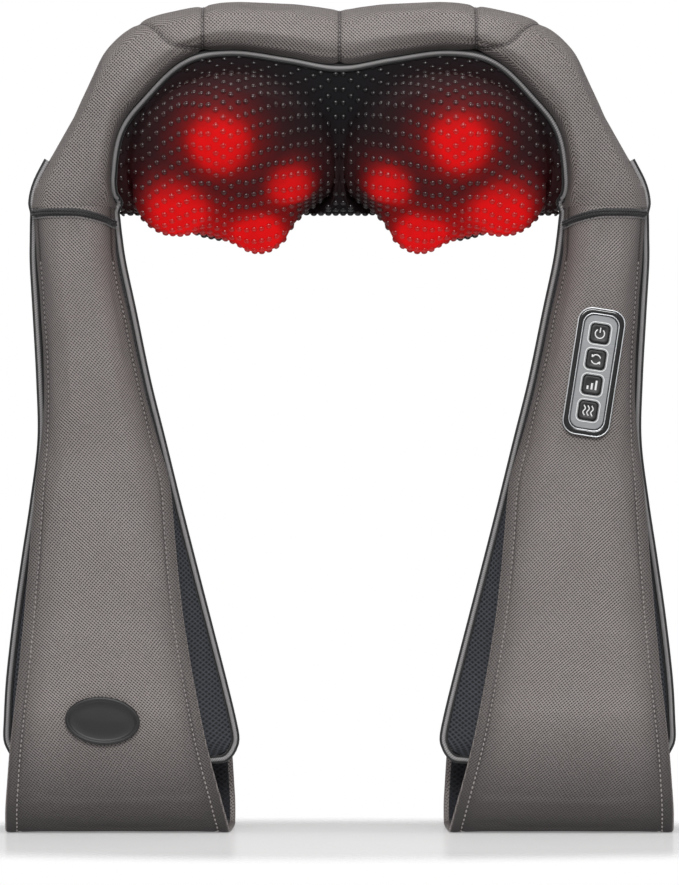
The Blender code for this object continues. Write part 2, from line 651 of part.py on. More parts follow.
# ---- arms: pad, leather strap, lining, piping, trim and flexible shoulder ----
def pad_rings(side, inset, count, points=16):
    rings = []
    for z, inner_x, outer_x, edge_y, front, back in smooth_rows(ARM_TABLE, count):
        middle, half = (inner_x + outer_x) / 2, (outer_x - inner_x) / 2 - inset
        ring = []
        for k in range(points):
            angle = 2 * math.pi * k / points
            across = math.cos(angle)
            bulge = 1 - abs(across) ** ROUNDNESS
            y = edge_y - front * bulge if math.sin(angle) >= 0 else edge_y + back * bulge
            ring.append((side * (middle + half * across), y, z))
        rings.append(ring)
    return rings


def strap_sheets(side, first, offset, thickness, narrow, across=6):
    """Outer and inner grids of a strap along STRAP_TABLE, at offset inside its middle surface."""
    rows = smooth_rows(STRAP_TABLE, 28)[first:]
    rows[:, 1] = np.maximum(rows[:, 1], LEATHER / 2)
    tangent = np.gradient(rows[:, :2], axis=0)
    tangent /= np.linalg.norm(tangent, axis=1, keepdims=True)
    inward = np.column_stack([-tangent[:, 1], tangent[:, 0]])
    grids = []
    for shift in (offset - thickness / 2, offset + thickness / 2):
        grid = []
        for (y, z, crown, inner_x, outer_x), normal in zip(rows, inward):
            line = []
            middle, half = (inner_x + outer_x) / 2, (outer_x - inner_x) / 2 - narrow
            for u in np.linspace(-1, 1, across):
                point_y = y + shift * normal[0] + crown * abs(u) ** ROUNDNESS
                line.append((side * (middle + half * u), point_y, z + shift * normal[1]))
            grid.append(line)
        grids.append(grid)
    return grids


def shoulder_ring(side, inset, z, points=24):
    """The arm's outline at its top, as a ring at height z."""
    _, inner_x, outer_x, edge_y, front, back = ARM_TABLE[0]
    middle, half = (inner_x + outer_x) / 2, (outer_x - inner_x) / 2 - inset
    ring = []
    for k in range(points):
        angle = 2 * math.pi * k / points
        across = math.cos(angle)
        bulge = 1 - abs(across) ** ROUNDNESS
        depth = -(front - inset) if math.sin(angle) >= 0 else back - inset
        ring.append((side * (middle + half * across), edge_y + depth * bulge, z))
    return ring


def shoulder_sleeve(name, side, material, parent):
    """The flexible foam sleeve between the collar's end and the arm."""
    low, high = ARM_TOP_Z + 0.6, COLLAR_END_Z - 0.6
    corners = ((2.6, low), (2.6, high), (10.0, high), (10.0, low))
    loops = [shoulder_ring(side, inset, z) for inset, z in corners]
    bm = bmesh.new()
    made = [[bm.verts.new(p) for p in loop] for loop in loops]
    count = len(made[0])
    for n, here in enumerate(made):
        after = made[(n + 1) % 4]
        for k in range(count):
            j = (k + 1) % count
            bm.faces.new((here[k], here[j], after[j], after[k]))
    return finish(name, bm, material, parent, 50)


def shoulder_trim(name, side, material, parent):
    """Braided band round the front of the shoulder, just under the collar's edge."""
    _, inner_x, outer_x, edge_y, front, _ = ARM_TABLE[0]
    middle, half = (inner_x + outer_x) / 2, (outer_x - inner_x) / 2 - 1.2
    outer, inner = [], []
    for drop in (0.5, 5.5):
        rows = []
        for depth in (front + 1.5, front - 0.6):
            line = []
            for k in range(13):
                u = -1 + 2 * k / 12
                z = COLLAR_END_Z - drop
                bulge = (depth - 3.0) * (1 - abs(u) ** ROUNDNESS)
                line.append((side * (middle + half * u), edge_y - 3.0 - bulge, z))
            rows.append(line)
        outer.append(rows[0])
        inner.append(rows[1])
    return thick_sheet(name, outer, inner, material, parent, 40)


def arm_piping(name, side, material, parent):
    """Piping down the arm's inner edge, round the pad's end and up its outer edge."""
    rows = smooth_rows(ARM_TABLE[:-1], 14)
    down = [(side * (r[1] + 1.8), r[3], r[0] - 1.0) for r in rows]
    up = [(side * (r[2] - 1.8), r[3], r[0] - 1.0) for r in rows[::-1]]
    inner_x, outer_x, z = rows[-1][1], rows[-1][2], rows[-1][0]
    turn = [(side * (inner_x + 4.5), rows[-1][3], z - 4.4), (side * (inner_x + 10), rows[-1][3], z - 6.4)]
    turn += [(side * (outer_x - 10), rows[-1][3], z - 6.4), (side * (outer_x - 4.5), rows[-1][3], z - 4.4)]
    return tube(name, down + turn + up, 1.7, material, parent)


def build_arm(side, word, parent, mats):
    pad = lofted(f"arm_pad_{word}", pad_rings(side, 4.2, 12), mats["lining"], parent)
    outer, inner = strap_sheets(side, 0, 0.0, LEATHER, 0.0)
    strap = thick_sheet(f"hand_strap_{word}", outer, inner, mats["leather"], parent)
    outer, inner = strap_sheets(side, LINING_FROM, (LEATHER + FABRIC) / 2 + GAP, FABRIC, 2.5)
    thick_sheet(f"strap_lining_{word}", outer, inner, mats["lining"], parent)
    arm_piping(f"arm_piping_{word}", side, mats["piping"], parent)
    shoulder_trim(f"shoulder_trim_{word}", side, mats["trim"], parent)
    shoulder_sleeve(f"shoulder_flex_{word}", side, mats["foam"], parent)
    return pad, strap


# ---- control panel on the right arm ----
def control_frame(parent):
    """+Z out of the panel (towards the front), +Y up the panel."""
    return empty("control_frame", (PANEL_X, PANEL_Y, PANEL_Z), (90, PANEL_LEAN, 0), parent)


def build_controls(parent, pad, strap, mats):
    frame = control_frame(parent)
    cutter = plate("panel_cut", 25.6, 72.6, 7.2, -18, 20, mats["foam"], frame)
    combine(strap, cutter, "DIFFERENCE")
    pocket = plate("panel_pocket", 26.0, 73.0, 7.2, -17.5, 20, mats["foam"], frame)
    combine(pad, pocket, "DIFFERENCE")
    box = plate("control_box", 24.8, 71.8, 6.8, -16.5, 0.2, mats["black_plastic"], frame)
    hollow = plate("box_inside", 22.2, 69.2, 5.6, -15.0, 5, mats["black_plastic"], frame)
    combine(box, hollow, "DIFFERENCE")
    board = plate("control_board", 20.6, 67.6, 4.8, -7.4, -5.8, mats["board"], frame)
    bezel = plate("panel_bezel", 27.4, 74.4, 8.0, 0.6, 3.4, mats["black_plastic"], frame, edge=0.9, steps=5)
    opening = plate("bezel_opening", 20.2, 67.2, 6.2, -3, 8, mats["black_plastic"], frame, steps=5)
    combine(bezel, opening, "DIFFERENCE")
    face = plate("panel_face", 19.6, 66.6, 5.9, 0.9, 2.9, mats["silver_plastic"], frame, edge=0.4, steps=5)
    for k, name in enumerate(BUTTON_NAMES):
        y = (k - 1.5) * BUTTON_PITCH
        black, place, hole_side = mats["black_plastic"], (0, y), BUTTON_SIDE + 0.8
        hole = plate(f"{name}_hole", hole_side, hole_side, 2.4, -2, 8, black, frame, place)
        combine(face, hole, "DIFFERENCE")
        switch = plate(f"{name}_switch", 6.0, 6.0, 0.6, -6.2, -2.6, black, frame, place, steps=1)
        combine(board, switch, "UNION")
        plate(f"button_{name}", BUTTON_SIDE, BUTTON_SIDE, 2.0, -1.2, 3.4, black, frame, place, edge=0.5)


def build_inlet(parent, pad, mats):
    """DC power socket in the back of the right arm."""
    x, y, z = 150.0, 13.6, 205.0
    pocket = turned("inlet_pocket", rod_profile(6.9, -16.5, 10), mats["foam"], parent, (x, y, z), "Y", 18)
    combine(pad, pocket, "DIFFERENCE")
    barrel, flange, socket, pin = 6.5, 9.0, 3.4, 1.1
    outside = [(0, -15.8), (barrel, -15.8), (barrel, 1.6), (flange, 1.6), (flange, 3.0)]
    inside = [(socket, 3.0), (socket, -8.0), (pin, -8.0), (pin, 1.0), (0, 1.0)]
    turned("dc_inlet", outside + inside, mats["black_plastic"], parent, (x, y, z), "Y", 18)


def build_badge(parent, mats):
    """Plain oval rubber badge on the left loop."""
    frame = empty("badge_frame", (-138.0, -49.1, 66.0), (90, 4.0, 0), parent)
    rings = []
    for level, inset in ((0.0, 0.0), (1.4, 0.0), (2.0, 0.6)):
        ring = []
        for k in range(28):
            angle = 2 * math.pi * k / 28
            ring.append(((21.8 - inset) * math.cos(angle), (14.0 - inset) * math.sin(angle), level))
        rings.append(ring)
    lofted("badge", rings, mats["rubber"], frame)


def build_wiring(parent, pad, mats):
    """Harness from the motor's chassis to the right shoulder, and from there to the control box."""
    turn_y = HINGE_Y
    down = ((95.5, 22, 415), (108, 20, 413), (122, 12, 406), (138, 2, 395), (150, -5, 379))
    collar_route = smooth_rows((*down, (153.5, turn_y, 364), (153.5, turn_y, HINGE_Z + 1.2)), 16)
    tube("collar_harness", collar_route, 2.0, mats["wire"], parent, 2)
    to_box = ((153.2, -9, ARM_TOP_Z), (152.6, -14, 322), (152.8, -25, 312), (152.8, -28, 308.2))
    arm_route = smooth_rows(((153.5, turn_y, HINGE_Z - 1.2), *to_box), 12)
    tube("arm_harness", arm_route, 2.0, mats["wire"], parent, 2)
    top = (152.8, -11, ARM_TOP_Z)
    channel = turned("harness_channel", rod_profile(5.0, -30, 10), mats["foam"], parent, top, "Z", 14)
    combine(pad, channel, "DIFFERENCE")
    slot = plate("harness_slot", 10, 30, 3, 0, 26, mats["foam"], parent, (152.8, -24))
    slot.location.z = 303 * MM
    combine(pad, slot, "DIFFERENCE")


def main():
    clear_scene()
    mats = make_materials()
    whole = empty("massager", (0, DEPTH_SHIFT, 0))
    build_collar(whole, mats)
    build_zipper(whole, mats)
    drive = empty("drive_frame", (0, HEAD_Y, HEAD_Z), (90 + HEAD_TILT, 0, 0), whole)
    build_chassis(drive, mats)
    build_motor(drive, mats)
    build_heads(drive, mats)
    arms = {}
    for side, word in ((-1, "left"), (1, "right")):
        arms[word] = build_arm(side, word, whole, mats)
    pad, strap = arms["right"]
    build_controls(whole, pad, strap, mats)
    build_inlet(whole, pad, mats)
    build_wiring(whole, pad, mats)
    build_badge(whole, mats)


main()
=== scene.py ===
"""The finished look of the shiatsu neck massager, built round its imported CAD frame.

Shapes are worked out in millimetres in the part's own frame (+Z up, -Y the front) and moved DEPTH_SHIFT
back into the row frame, as the CAD is. Every mesh carries a UV map named weave, whose units are millimetres,
so that grain and weave have the same size on every piece.
"""

import json
import math

import bmesh
import bpy
import numpy as np
from mathutils import Matrix, Vector
from mathutils.bvhtree import BVHTree


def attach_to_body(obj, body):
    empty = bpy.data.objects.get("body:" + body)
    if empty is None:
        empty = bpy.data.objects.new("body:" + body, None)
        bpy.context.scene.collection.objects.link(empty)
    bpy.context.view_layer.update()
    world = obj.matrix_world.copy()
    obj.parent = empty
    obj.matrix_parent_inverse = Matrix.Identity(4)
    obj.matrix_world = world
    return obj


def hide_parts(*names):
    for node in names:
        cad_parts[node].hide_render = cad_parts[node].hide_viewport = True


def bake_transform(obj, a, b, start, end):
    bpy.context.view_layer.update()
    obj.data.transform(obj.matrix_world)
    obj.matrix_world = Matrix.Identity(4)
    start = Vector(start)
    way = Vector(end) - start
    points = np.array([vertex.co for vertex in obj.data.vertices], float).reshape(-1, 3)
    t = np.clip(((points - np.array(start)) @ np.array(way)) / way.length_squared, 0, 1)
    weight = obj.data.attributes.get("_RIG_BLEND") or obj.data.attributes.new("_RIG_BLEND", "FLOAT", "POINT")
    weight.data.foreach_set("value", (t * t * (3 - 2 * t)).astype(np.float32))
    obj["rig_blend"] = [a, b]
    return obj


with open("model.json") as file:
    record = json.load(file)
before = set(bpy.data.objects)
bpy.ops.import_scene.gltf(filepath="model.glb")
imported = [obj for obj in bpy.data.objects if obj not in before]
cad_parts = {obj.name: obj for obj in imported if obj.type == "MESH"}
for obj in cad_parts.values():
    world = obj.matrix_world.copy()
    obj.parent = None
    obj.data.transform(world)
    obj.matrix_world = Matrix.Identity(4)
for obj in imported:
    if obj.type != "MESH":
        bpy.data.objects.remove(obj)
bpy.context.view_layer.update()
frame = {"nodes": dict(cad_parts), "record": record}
NODES = frame["nodes"]
SIDES = ((-1, "left"), (1, "right"))

MM = 0.001
DEPTH_SHIFT = 1.7
LEATHER = 2.4
FABRIC = 1.3
ROUNDNESS = 3.0
COLLAR_END_Z, ARM_TOP_Z = 366.0, 334.0  # the soft shoulder lies between these heights
HINGE_Y = -8.0

HEAD_X, HEAD_Y, HEAD_Z, HEAD_TILT = 63.0, -22.0, 385.0, 32.0
RING_R, LARGE_R, SMALL_R = 34.0, 24.0, 17.0
NODE_ANGLES = {"upper": -12.0, "outer": -108.0, "inner": 87.0, "lower": 153.0}
CORE_Y, CORE_Z, CORE_R = 17.0, 400.0, 36.5

# Collar sections, right half: inner x and z, outer x and z, then how far from inner to outer the
# piping runs, the piping's y, the front's y, the ridge's y, the back's y, how far out the back edge
# is, and that edge's y
COLLAR_TABLE = (
    (0.0, 363.5, 0.0, 483.5, 0.708, -34.0, -46.0, -4.0, 63.0, 0.120, 58.0),
    (30.0, 363.5, 30.0, 486.6, 0.728, -35.0, -47.0, -4.0, 63.0, 0.118, 58.0),
    (62.0, 363.5, 64.0, 487.2, 0.757, -36.5, -49.0, -5.0, 63.0, 0.117, 58.0),
    (88.0, 363.8, 92.0, 483.0, 0.735, -36.0, -49.5, -6.0, 62.0, 0.118, 57.6),
    (108.0, 364.5, 117.0, 475.8, 0.600, -33.0, -48.0, -7.0, 57.0, 0.110, 52.0),
    (121.0, 366.0, 137.0, 459.5, 0.480, -29.0, -45.0, -7.5, 48.0, 0.090, 41.0),
    (127.5, 367.5, 151.0, 434.5, 0.260, -23.0, -42.0, -8.0, 38.0, 0.060, 28.0),
    (130.0, 368.4, 163.0, 412.0, 0.070, -15.0, -39.5, -8.0, 29.0, 0.030, 17.0),
    (130.6, 368.2, 172.5, 394.5, 0.015, -11.0, -37.5, -8.0, 22.0, 0.015, 9.0),
    (130.6, 367.2, 179.0, 380.0, 0.005, -9.5, -36.0, -8.0, 17.0, 0.005, 5.0),
    (130.5, COLLAR_END_Z, 181.4, COLLAR_END_Z, 0.0, -9.0, -35.0, -8.0, 14.5, 0.0, 3.0),
)
# Arm sections, right arm: z, inner x, outer x, the piped edges' y, and the front's and back's bulge
ARM_TABLE = (
    (364.5, 130.0, 181.6, -8.0, 25.6, 20.8),
    (350.0, 128.4, 181.8, -8.0, 26.2, 21.6),
    (334.0, 126.0, 181.8, -8.0, 26.5, 22.0),
    (306.0, 120.0, 180.2, -7.8, 27.0, 21.5),
    (265.0, 111.5, 178.0, -7.2, 27.5, 21.0),
    (230.0, 102.8, 177.4, -6.4, 27.5, 20.5),
    (194.0, 94.0, 181.8, -5.4, 24.5, 20.0),
    (160.0, 85.4, 187.0, -4.4, 20.5, 19.5),
    (125.0, 76.4, 192.0, -3.4, 18.0, 19.0),
    (90.0, 67.4, 196.0, -2.6, 16.5, 18.0),
    (66.0, 61.6, 197.4, -2.2, 15.5, 17.0),
    (54.0, 59.6, 197.6, -2.0, 14.0, 15.0),
    (47.5, 61.6, 195.0, -2.0, 10.0, 11.0),
    (44.0, 67.0, 189.0, -2.0, 4.0, 4.5),
)
# Hand strap, right arm: the middle's y, z, how far the edges sit back, inner x and outer x
STRAP_TOP = (
    (-35.6, 366.0, 21.0, 132.4, 179.6),
    (-36.6, 350.0, 20.4, 131.6, 178.6),
)
STRAP_TABLE = (
    (-37.0, 332.5, 19.5, 130.4, 177.4),
    (-37.3, 300.0, 19.5, 123.4, 175.0),
    (-37.4, 265.0, 19.0, 116.0, 173.4),
    (-37.6, 236.0, 16.0, 108.8, 174.2),
    (-39.6, 205.0, 10.5, 100.0, 177.4),
    (-43.0, 170.0, 8.0, 96.6, 180.0),
    (-45.6, 130.0, 6.5, 92.4, 183.2),
    (-47.0, 90.0, 6.0, 86.0, 187.0),
    (-47.0, 52.0, 5.0, 78.4, 191.2),
    (-44.0, 20.0, 2.5, 70.0, 193.6),
    (-36.0, 4.0, 0.5, 65.8, 194.2),
    (-28.0, 1.2, 0.0, 65.0, 194.2),
    (-2.0, 1.2, 0.0, 64.0, 194.2),
    (24.0, 1.2, 0.0, 63.4, 194.0),
    (32.0, 4.0, 0.0, 63.2, 193.6),
    (38.0, 20.0, -1.0, 63.6, 192.6),
    (39.0, 52.0, -2.0, 66.0, 190.6),
    (35.0, 88.0, -4.0, 71.6, 188.0),
    (27.5, 122.0, -7.0, 79.0, 185.0),
    (19.6, 152.0, -11.0, 87.0, 181.0),
)
STRAP_ROWS, LINING_FROM = 28, 6  # the lining starts at the strap's seventh row of 28


# ---- geometry helpers, all in millimetres ----
def smooth_rows(rows, count, first=0.0):
    """Rows of numbers resampled to count rows on a Catmull-Rom curve, from row number first on."""
    rows = np.array(rows, float)
    ends = np.concatenate([[2 * rows[0] - rows[1]], rows, [2 * rows[-1] - rows[-2]]])
    at = np.linspace(first, len(rows) - 1, count)
    base = np.minimum(at.astype(int), len(rows) - 2)
    t = (at - base).reshape((-1,) + (1,) * (rows.ndim - 1))
    a, b, c, d = (ends[base + k] for k in range(4))
    square, cube = 2 * a - 5 * b + 4 * c - d, 3 * b - a - 3 * c + d
    return 0.5 * (2 * b + (c - a) * t + square * t**2 + cube * t**3)


def refine(grid, rows, columns):
    """A grid of points resampled smoothly in both directions."""
    tall = smooth_rows(grid, rows)
    return smooth_rows(tall.transpose(1, 0, 2), columns).transpose(1, 0, 2)


def unit(vectors):
    return vectors / np.maximum(np.linalg.norm(vectors, axis=-1, keepdims=True), 1e-9)


def lengths(points):
    """Distance travelled along a line of points, from 0."""
    steps = np.linalg.norm(np.diff(points, axis=0), axis=-1)
    return np.concatenate([np.zeros((1,) + steps.shape[1:]), np.cumsum(steps, axis=0)])


def values_at(places, at, values):
    """Points or directions at distances along a line, from those known at the distances at."""
    return np.column_stack([np.interp(places, at, values[:, k]) for k in range(3)])


def evenly_spaced(line, count=None):
    """The same polyline with count points at even steps along it."""
    at = lengths(line)
    even = np.linspace(0, at[-1], count or len(line))
    return values_at(even, at, line)


def surface_normals(grid, towards):
    """Unit normals of a grid of points, on the side of the direction towards at its middle."""
    normal = unit(np.cross(np.gradient(grid, axis=0), np.gradient(grid, axis=1)))
    middle = normal[grid.shape[0] // 2, grid.shape[1] // 2]
    return normal if middle @ np.array(towards) > 0 else -normal


def mirrored(points, side):
    return np.asarray(points, float) * (side, 1, 1)


def row_frame(points):
    """Part-frame millimetres to row-frame metres."""
    return (np.asarray(points, float).reshape(-1, 3) + (0, DEPTH_SHIFT, 0)) * MM


def make_piece(name, points, faces, material, uvs, sharp=50.0):
    """A mesh object from points in millimetres, faces, and one UV pair for each face corner."""
    mesh = bpy.data.meshes.new(name)
    mesh.from_pydata(row_frame(points).tolist(), [], faces)
    pairs = np.array([pair for corner in uvs for pair in corner], np.float32)
    mesh.uv_layers.new(name="weave").data.foreach_set("uv", pairs.ravel())
    mesh.materials.append(material)
    mesh.validate()
    mesh.shade_smooth()
    mesh.set_sharp_from_angle(angle=math.radians(sharp))
    obj = bpy.data.objects.new(name, mesh)
    bpy.context.scene.collection.objects.link(obj)
    return obj


def outward(obj):
    """Turns a closed mesh's faces to point out."""
    bm = bmesh.new()
    bm.from_mesh(obj.data)
    bmesh.ops.recalc_face_normals(bm, faces=bm.faces)
    bm.to_mesh(obj.data)
    bm.free()
    return obj


def attach(obj, body, slot, *nodes, bends=False):
    """Fixes a piece to a body and hides the CAD nodes that it stands for; its material slot is not used.

    A piece that bends goes from the collar's body to an arm's body over the soft shoulder.
    """
    if bends:
        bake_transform(obj, "collar", body, start=(0, 0, COLLAR_END_Z * MM), end=(0, 0, ARM_TOP_Z * MM))
    else:
        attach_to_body(obj, body)
    if nodes:
        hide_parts(*nodes)


class Builder:
    """Collects grids and rings of points into one mesh."""

    def __init__(self):
        self.points, self.faces, self.uvs = [], [], []
        self.total = 0

    def add_points(self, points):
        points = np.asarray(points, float)
        start = self.total
        flat = points.reshape(-1, 3)
        self.points.append(flat)
        self.total += len(flat)
        return start + np.arange(len(flat)).reshape(points.shape[:-1])

    def face(self, corners, uv=None):
        self.faces.append(tuple(int(c) for c in corners))
        self.uvs.append(tuple(uv) if uv is not None else ((0.0, 0.0),) * len(corners))

    def quads(self, index, u, v, closed=False):
        """Quads over a grid of point numbers.

        u and v hold a UV for each point, with one more column if the grid is closed.
        """
        rows, columns = index.shape
        for i in range(rows - 1):
            for j in range(columns if closed else columns - 1):
                k = (j + 1) % columns
                corners = (index[i, j], index[i, k], index[i + 1, k], index[i + 1, j])
                pairs = ((i, j), (i, j + 1), (i + 1, j + 1), (i + 1, j))
                self.face(corners, [(u[a, b], v[a, b]) for a, b in pairs])

    def loft(self, rings, slit=0):
        """Joins rings of points with quads. A folded sheet's ring has slit points on each face."""
        rings = np.asarray(rings, float)
        index = self.add_points(rings)
        wrapped = np.concatenate([rings, rings[:, :1]], axis=1)
        around = lengths(wrapped.transpose(1, 0, 2)).T
        along = lengths(wrapped)
        along = along - along[len(along) // 2]
        self.quads(index, around, along, closed=True)
        for ring in (index[0], index[-1]):
            self.cap(ring, slit)

    def close_to_points(self, index, ends):
        """Triangles from a grid's first and last ring to one point each."""
        count = index.shape[1]
        for j in range(count):
            k = (j + 1) % count
            self.face((index[0, k], index[0, j], ends[0]))
            self.face((index[-1, j], index[-1, k], ends[1]))

    def cap(self, ring, slit):
        count = len(ring)
        if not slit:
            self.face(ring)
            return
        turn = (count - 2 * slit) // 2
        for j in range(slit - 1):
            back = count - turn - 1 - j
            self.face((ring[j], ring[j + 1], ring[back - 1], ring[back]))
        self.face(ring[slit - 1 : slit + turn + 1])
        self.face(list(ring[count - turn - 1 :]) + [ring[0]])

    def finish(self, name, material, sharp=50.0):
        points = np.concatenate(self.points)
        return outward(make_piece(name, points, self.faces, material, self.uvs, sharp))


def folded_ring(outer, inner, steps=4):
    """One closed section of a sheet: its outer line, a round edge, its inner line back, a round edge."""
    ring = [outer]
    for here, there, before in ((outer[-1], inner[-1], outer[-2]), (inner[0], outer[0], inner[1])):
        middle, half = (here + there) / 2, (here - there) / 2
        out = unit(here - before) * np.linalg.norm(half)
        angles = np.pi * np.arange(1, steps) / steps
        ring.append(middle + np.outer(np.cos(angles), half) + np.outer(np.sin(angles), out))
        if len(ring) == 2:
            ring.append(inner[::-1])
    return np.concatenate(ring)


def shell(name, outer, inner, material, sharp=50.0):
    """A sheet with thickness between two grids, with round long edges."""
    made = Builder()
    made.loft([folded_ring(o, i) for o, i in zip(outer, inner)], slit=outer.shape[1])
    return made.finish(name, material, sharp)


def frames_along(path):
    """Two directions across a path at each of its points, turning as little as they can."""
    tangent = unit(np.gradient(path, axis=0))
    across = unit(np.cross(tangent[0], (0.3, 0.9, 0.2)))
    sides = []
    for direction in tangent:
        across = unit(across - (across @ direction) * direction)
        sides.append(across)
    sides = np.array(sides)
    return sides, np.cross(tangent, sides)


def tube_rings(path, radius, sides=10):
    """Rings round a path; radius may change along it."""
    path = np.asarray(path, float)
    first, second = frames_along(path)
    turn = 2 * np.pi * np.arange(sides) / sides
    radius = np.broadcast_to(radius, (len(path),))[:, None, None]
    circle = np.cos(turn)[None, :, None] * first[:, None] + np.sin(turn)[None, :, None] * second[:, None]
    return path[:, None] + radius * circle


def tube(name, path, radius, material, sides=10):
    made = Builder()
    made.loft(tube_rings(path, radius, sides))
    return made.finish(name, material)


def closed_tube(made, path, radius, sides=8):
    """A ring-shaped tube round a closed path."""
    path = np.asarray(path, float)
    rings = tube_rings(np.concatenate([path[-1:], path, path[:1]]), radius, sides)[1:-1]
    index = made.add_points(rings)
    u = np.broadcast_to(np.arange(sides + 1.0), (len(path) + 1, sides + 1))
    v = np.broadcast_to(np.arange(len(path) + 1.0)[:, None], u.shape)
    made.quads(np.concatenate([index, index[:1]]), u, v, closed=True)


def beads(made, places, along, out, size, sides=6):
    """Small ovals, such as stitches: size is (length, width, height); each lies along one direction."""
    places, along, out = (np.asarray(v, float) for v in (places, along, out))
    across = unit(np.cross(out, along))
    levels = np.radians((-90, -50, 0, 50, 90))
    turn = 2 * np.pi * np.arange(sides) / sides
    for place, a, b, c in zip(places, along, across, out):
        rings = []
        for level in levels[1:-1]:
            ring = np.outer(np.cos(turn), b) * size[1] / 2 + np.outer(np.sin(turn), c) * size[2] / 2
            rings.append(place + a * size[0] / 2 * math.sin(level) + ring * math.cos(level))
        index = made.add_points(np.array(rings))
        ends = made.add_points(np.array([place - a * size[0] / 2, place + a * size[0] / 2]))
        u = np.broadcast_to(np.arange(sides + 1.0), (3, sides + 1))
        v = np.broadcast_to(np.arange(3.0)[:, None], (3, sides + 1))
        made.quads(index, u, v, closed=True)
        made.close_to_points(index, ends)


def stitch_row(made, line, out, pitch, size):
    """Stitches at even steps along a line that lies on a surface whose normals are out."""
    at = lengths(line)
    places = np.arange(pitch / 2, at[-1], pitch)
    centre = values_at(places, at, line)
    normal = unit(values_at(places, at, out))
    along = unit(values_at(places, at, np.gradient(line, axis=0)))
    beads(made, centre + normal * size[2] * 0.15, along, normal, size)


CLOTH_FRAMES = 20
# The pressure, and how far a point may move in millimetres
COLLAR_SWELL, STRAP_SWELL, PAD_SWELL = (4.0, 2.4), (3.0, 1.3), (3.0, 2.2)


def inflate(grid, pinned, pressure, cap):
    """Lets a sheet swell under pressure with Blender's cloth solver.

    Pinned points stay, and no point moves over cap mm.
    """
    rows, columns = grid.shape[:2]
    index = np.arange(rows * columns).reshape(rows, columns)
    faces = [
        (int(index[i, j]), int(index[i, j + 1]), int(index[i + 1, j + 1]), int(index[i + 1, j]))
        for i in range(rows - 1)
        for j in range(columns - 1)
    ]
    mesh = bpy.data.meshes.new("cloth_work")
    mesh.from_pydata(row_frame(grid).tolist(), [], faces)
    obj = bpy.data.objects.new("cloth_work", mesh)
    bpy.context.scene.collection.objects.link(obj)
    group = obj.vertex_groups.new(name="pin")
    for value in np.unique(pinned):
        if value > 0:
            group.add([int(i) for i in np.flatnonzero(pinned.ravel() == value)], float(value), "REPLACE")
    cloth = obj.modifiers.new("cloth", "CLOTH")
    settings = cloth.settings
    settings.quality = 6
    settings.mass = 0.25
    settings.use_pressure = True
    settings.uniform_pressure_force = pressure
    settings.vertex_group_mass = "pin"
    settings.effector_weights.gravity = 0.0
    settings.tension_stiffness = settings.compression_stiffness = 12.0
    settings.bending_stiffness = 0.4
    cloth.collision_settings.use_collision = False
    cloth.point_cache.frame_start, cloth.point_cache.frame_end = 1, CLOTH_FRAMES
    scene = bpy.context.scene
    for step in range(1, CLOTH_FRAMES + 1):
        scene.frame_set(step)
    result = obj.evaluated_get(bpy.context.evaluated_depsgraph_get()).data
    found = np.zeros(len(result.vertices) * 3, np.float32)
    result.vertices.foreach_get("co", found)
    moved = found.reshape(grid.shape) / MM - (0, DEPTH_SHIFT, 0) - grid
    size = np.linalg.norm(moved, axis=-1, keepdims=True)
    bpy.data.objects.remove(obj, do_unlink=True)
    scene.frame_set(1)
    print("cloth: most", round(float(size.max()), 2), "mm, mean", round(float(size.mean()), 2), "mm")
    return grid + moved * np.minimum(1, cap / np.maximum(size, 1e-6))


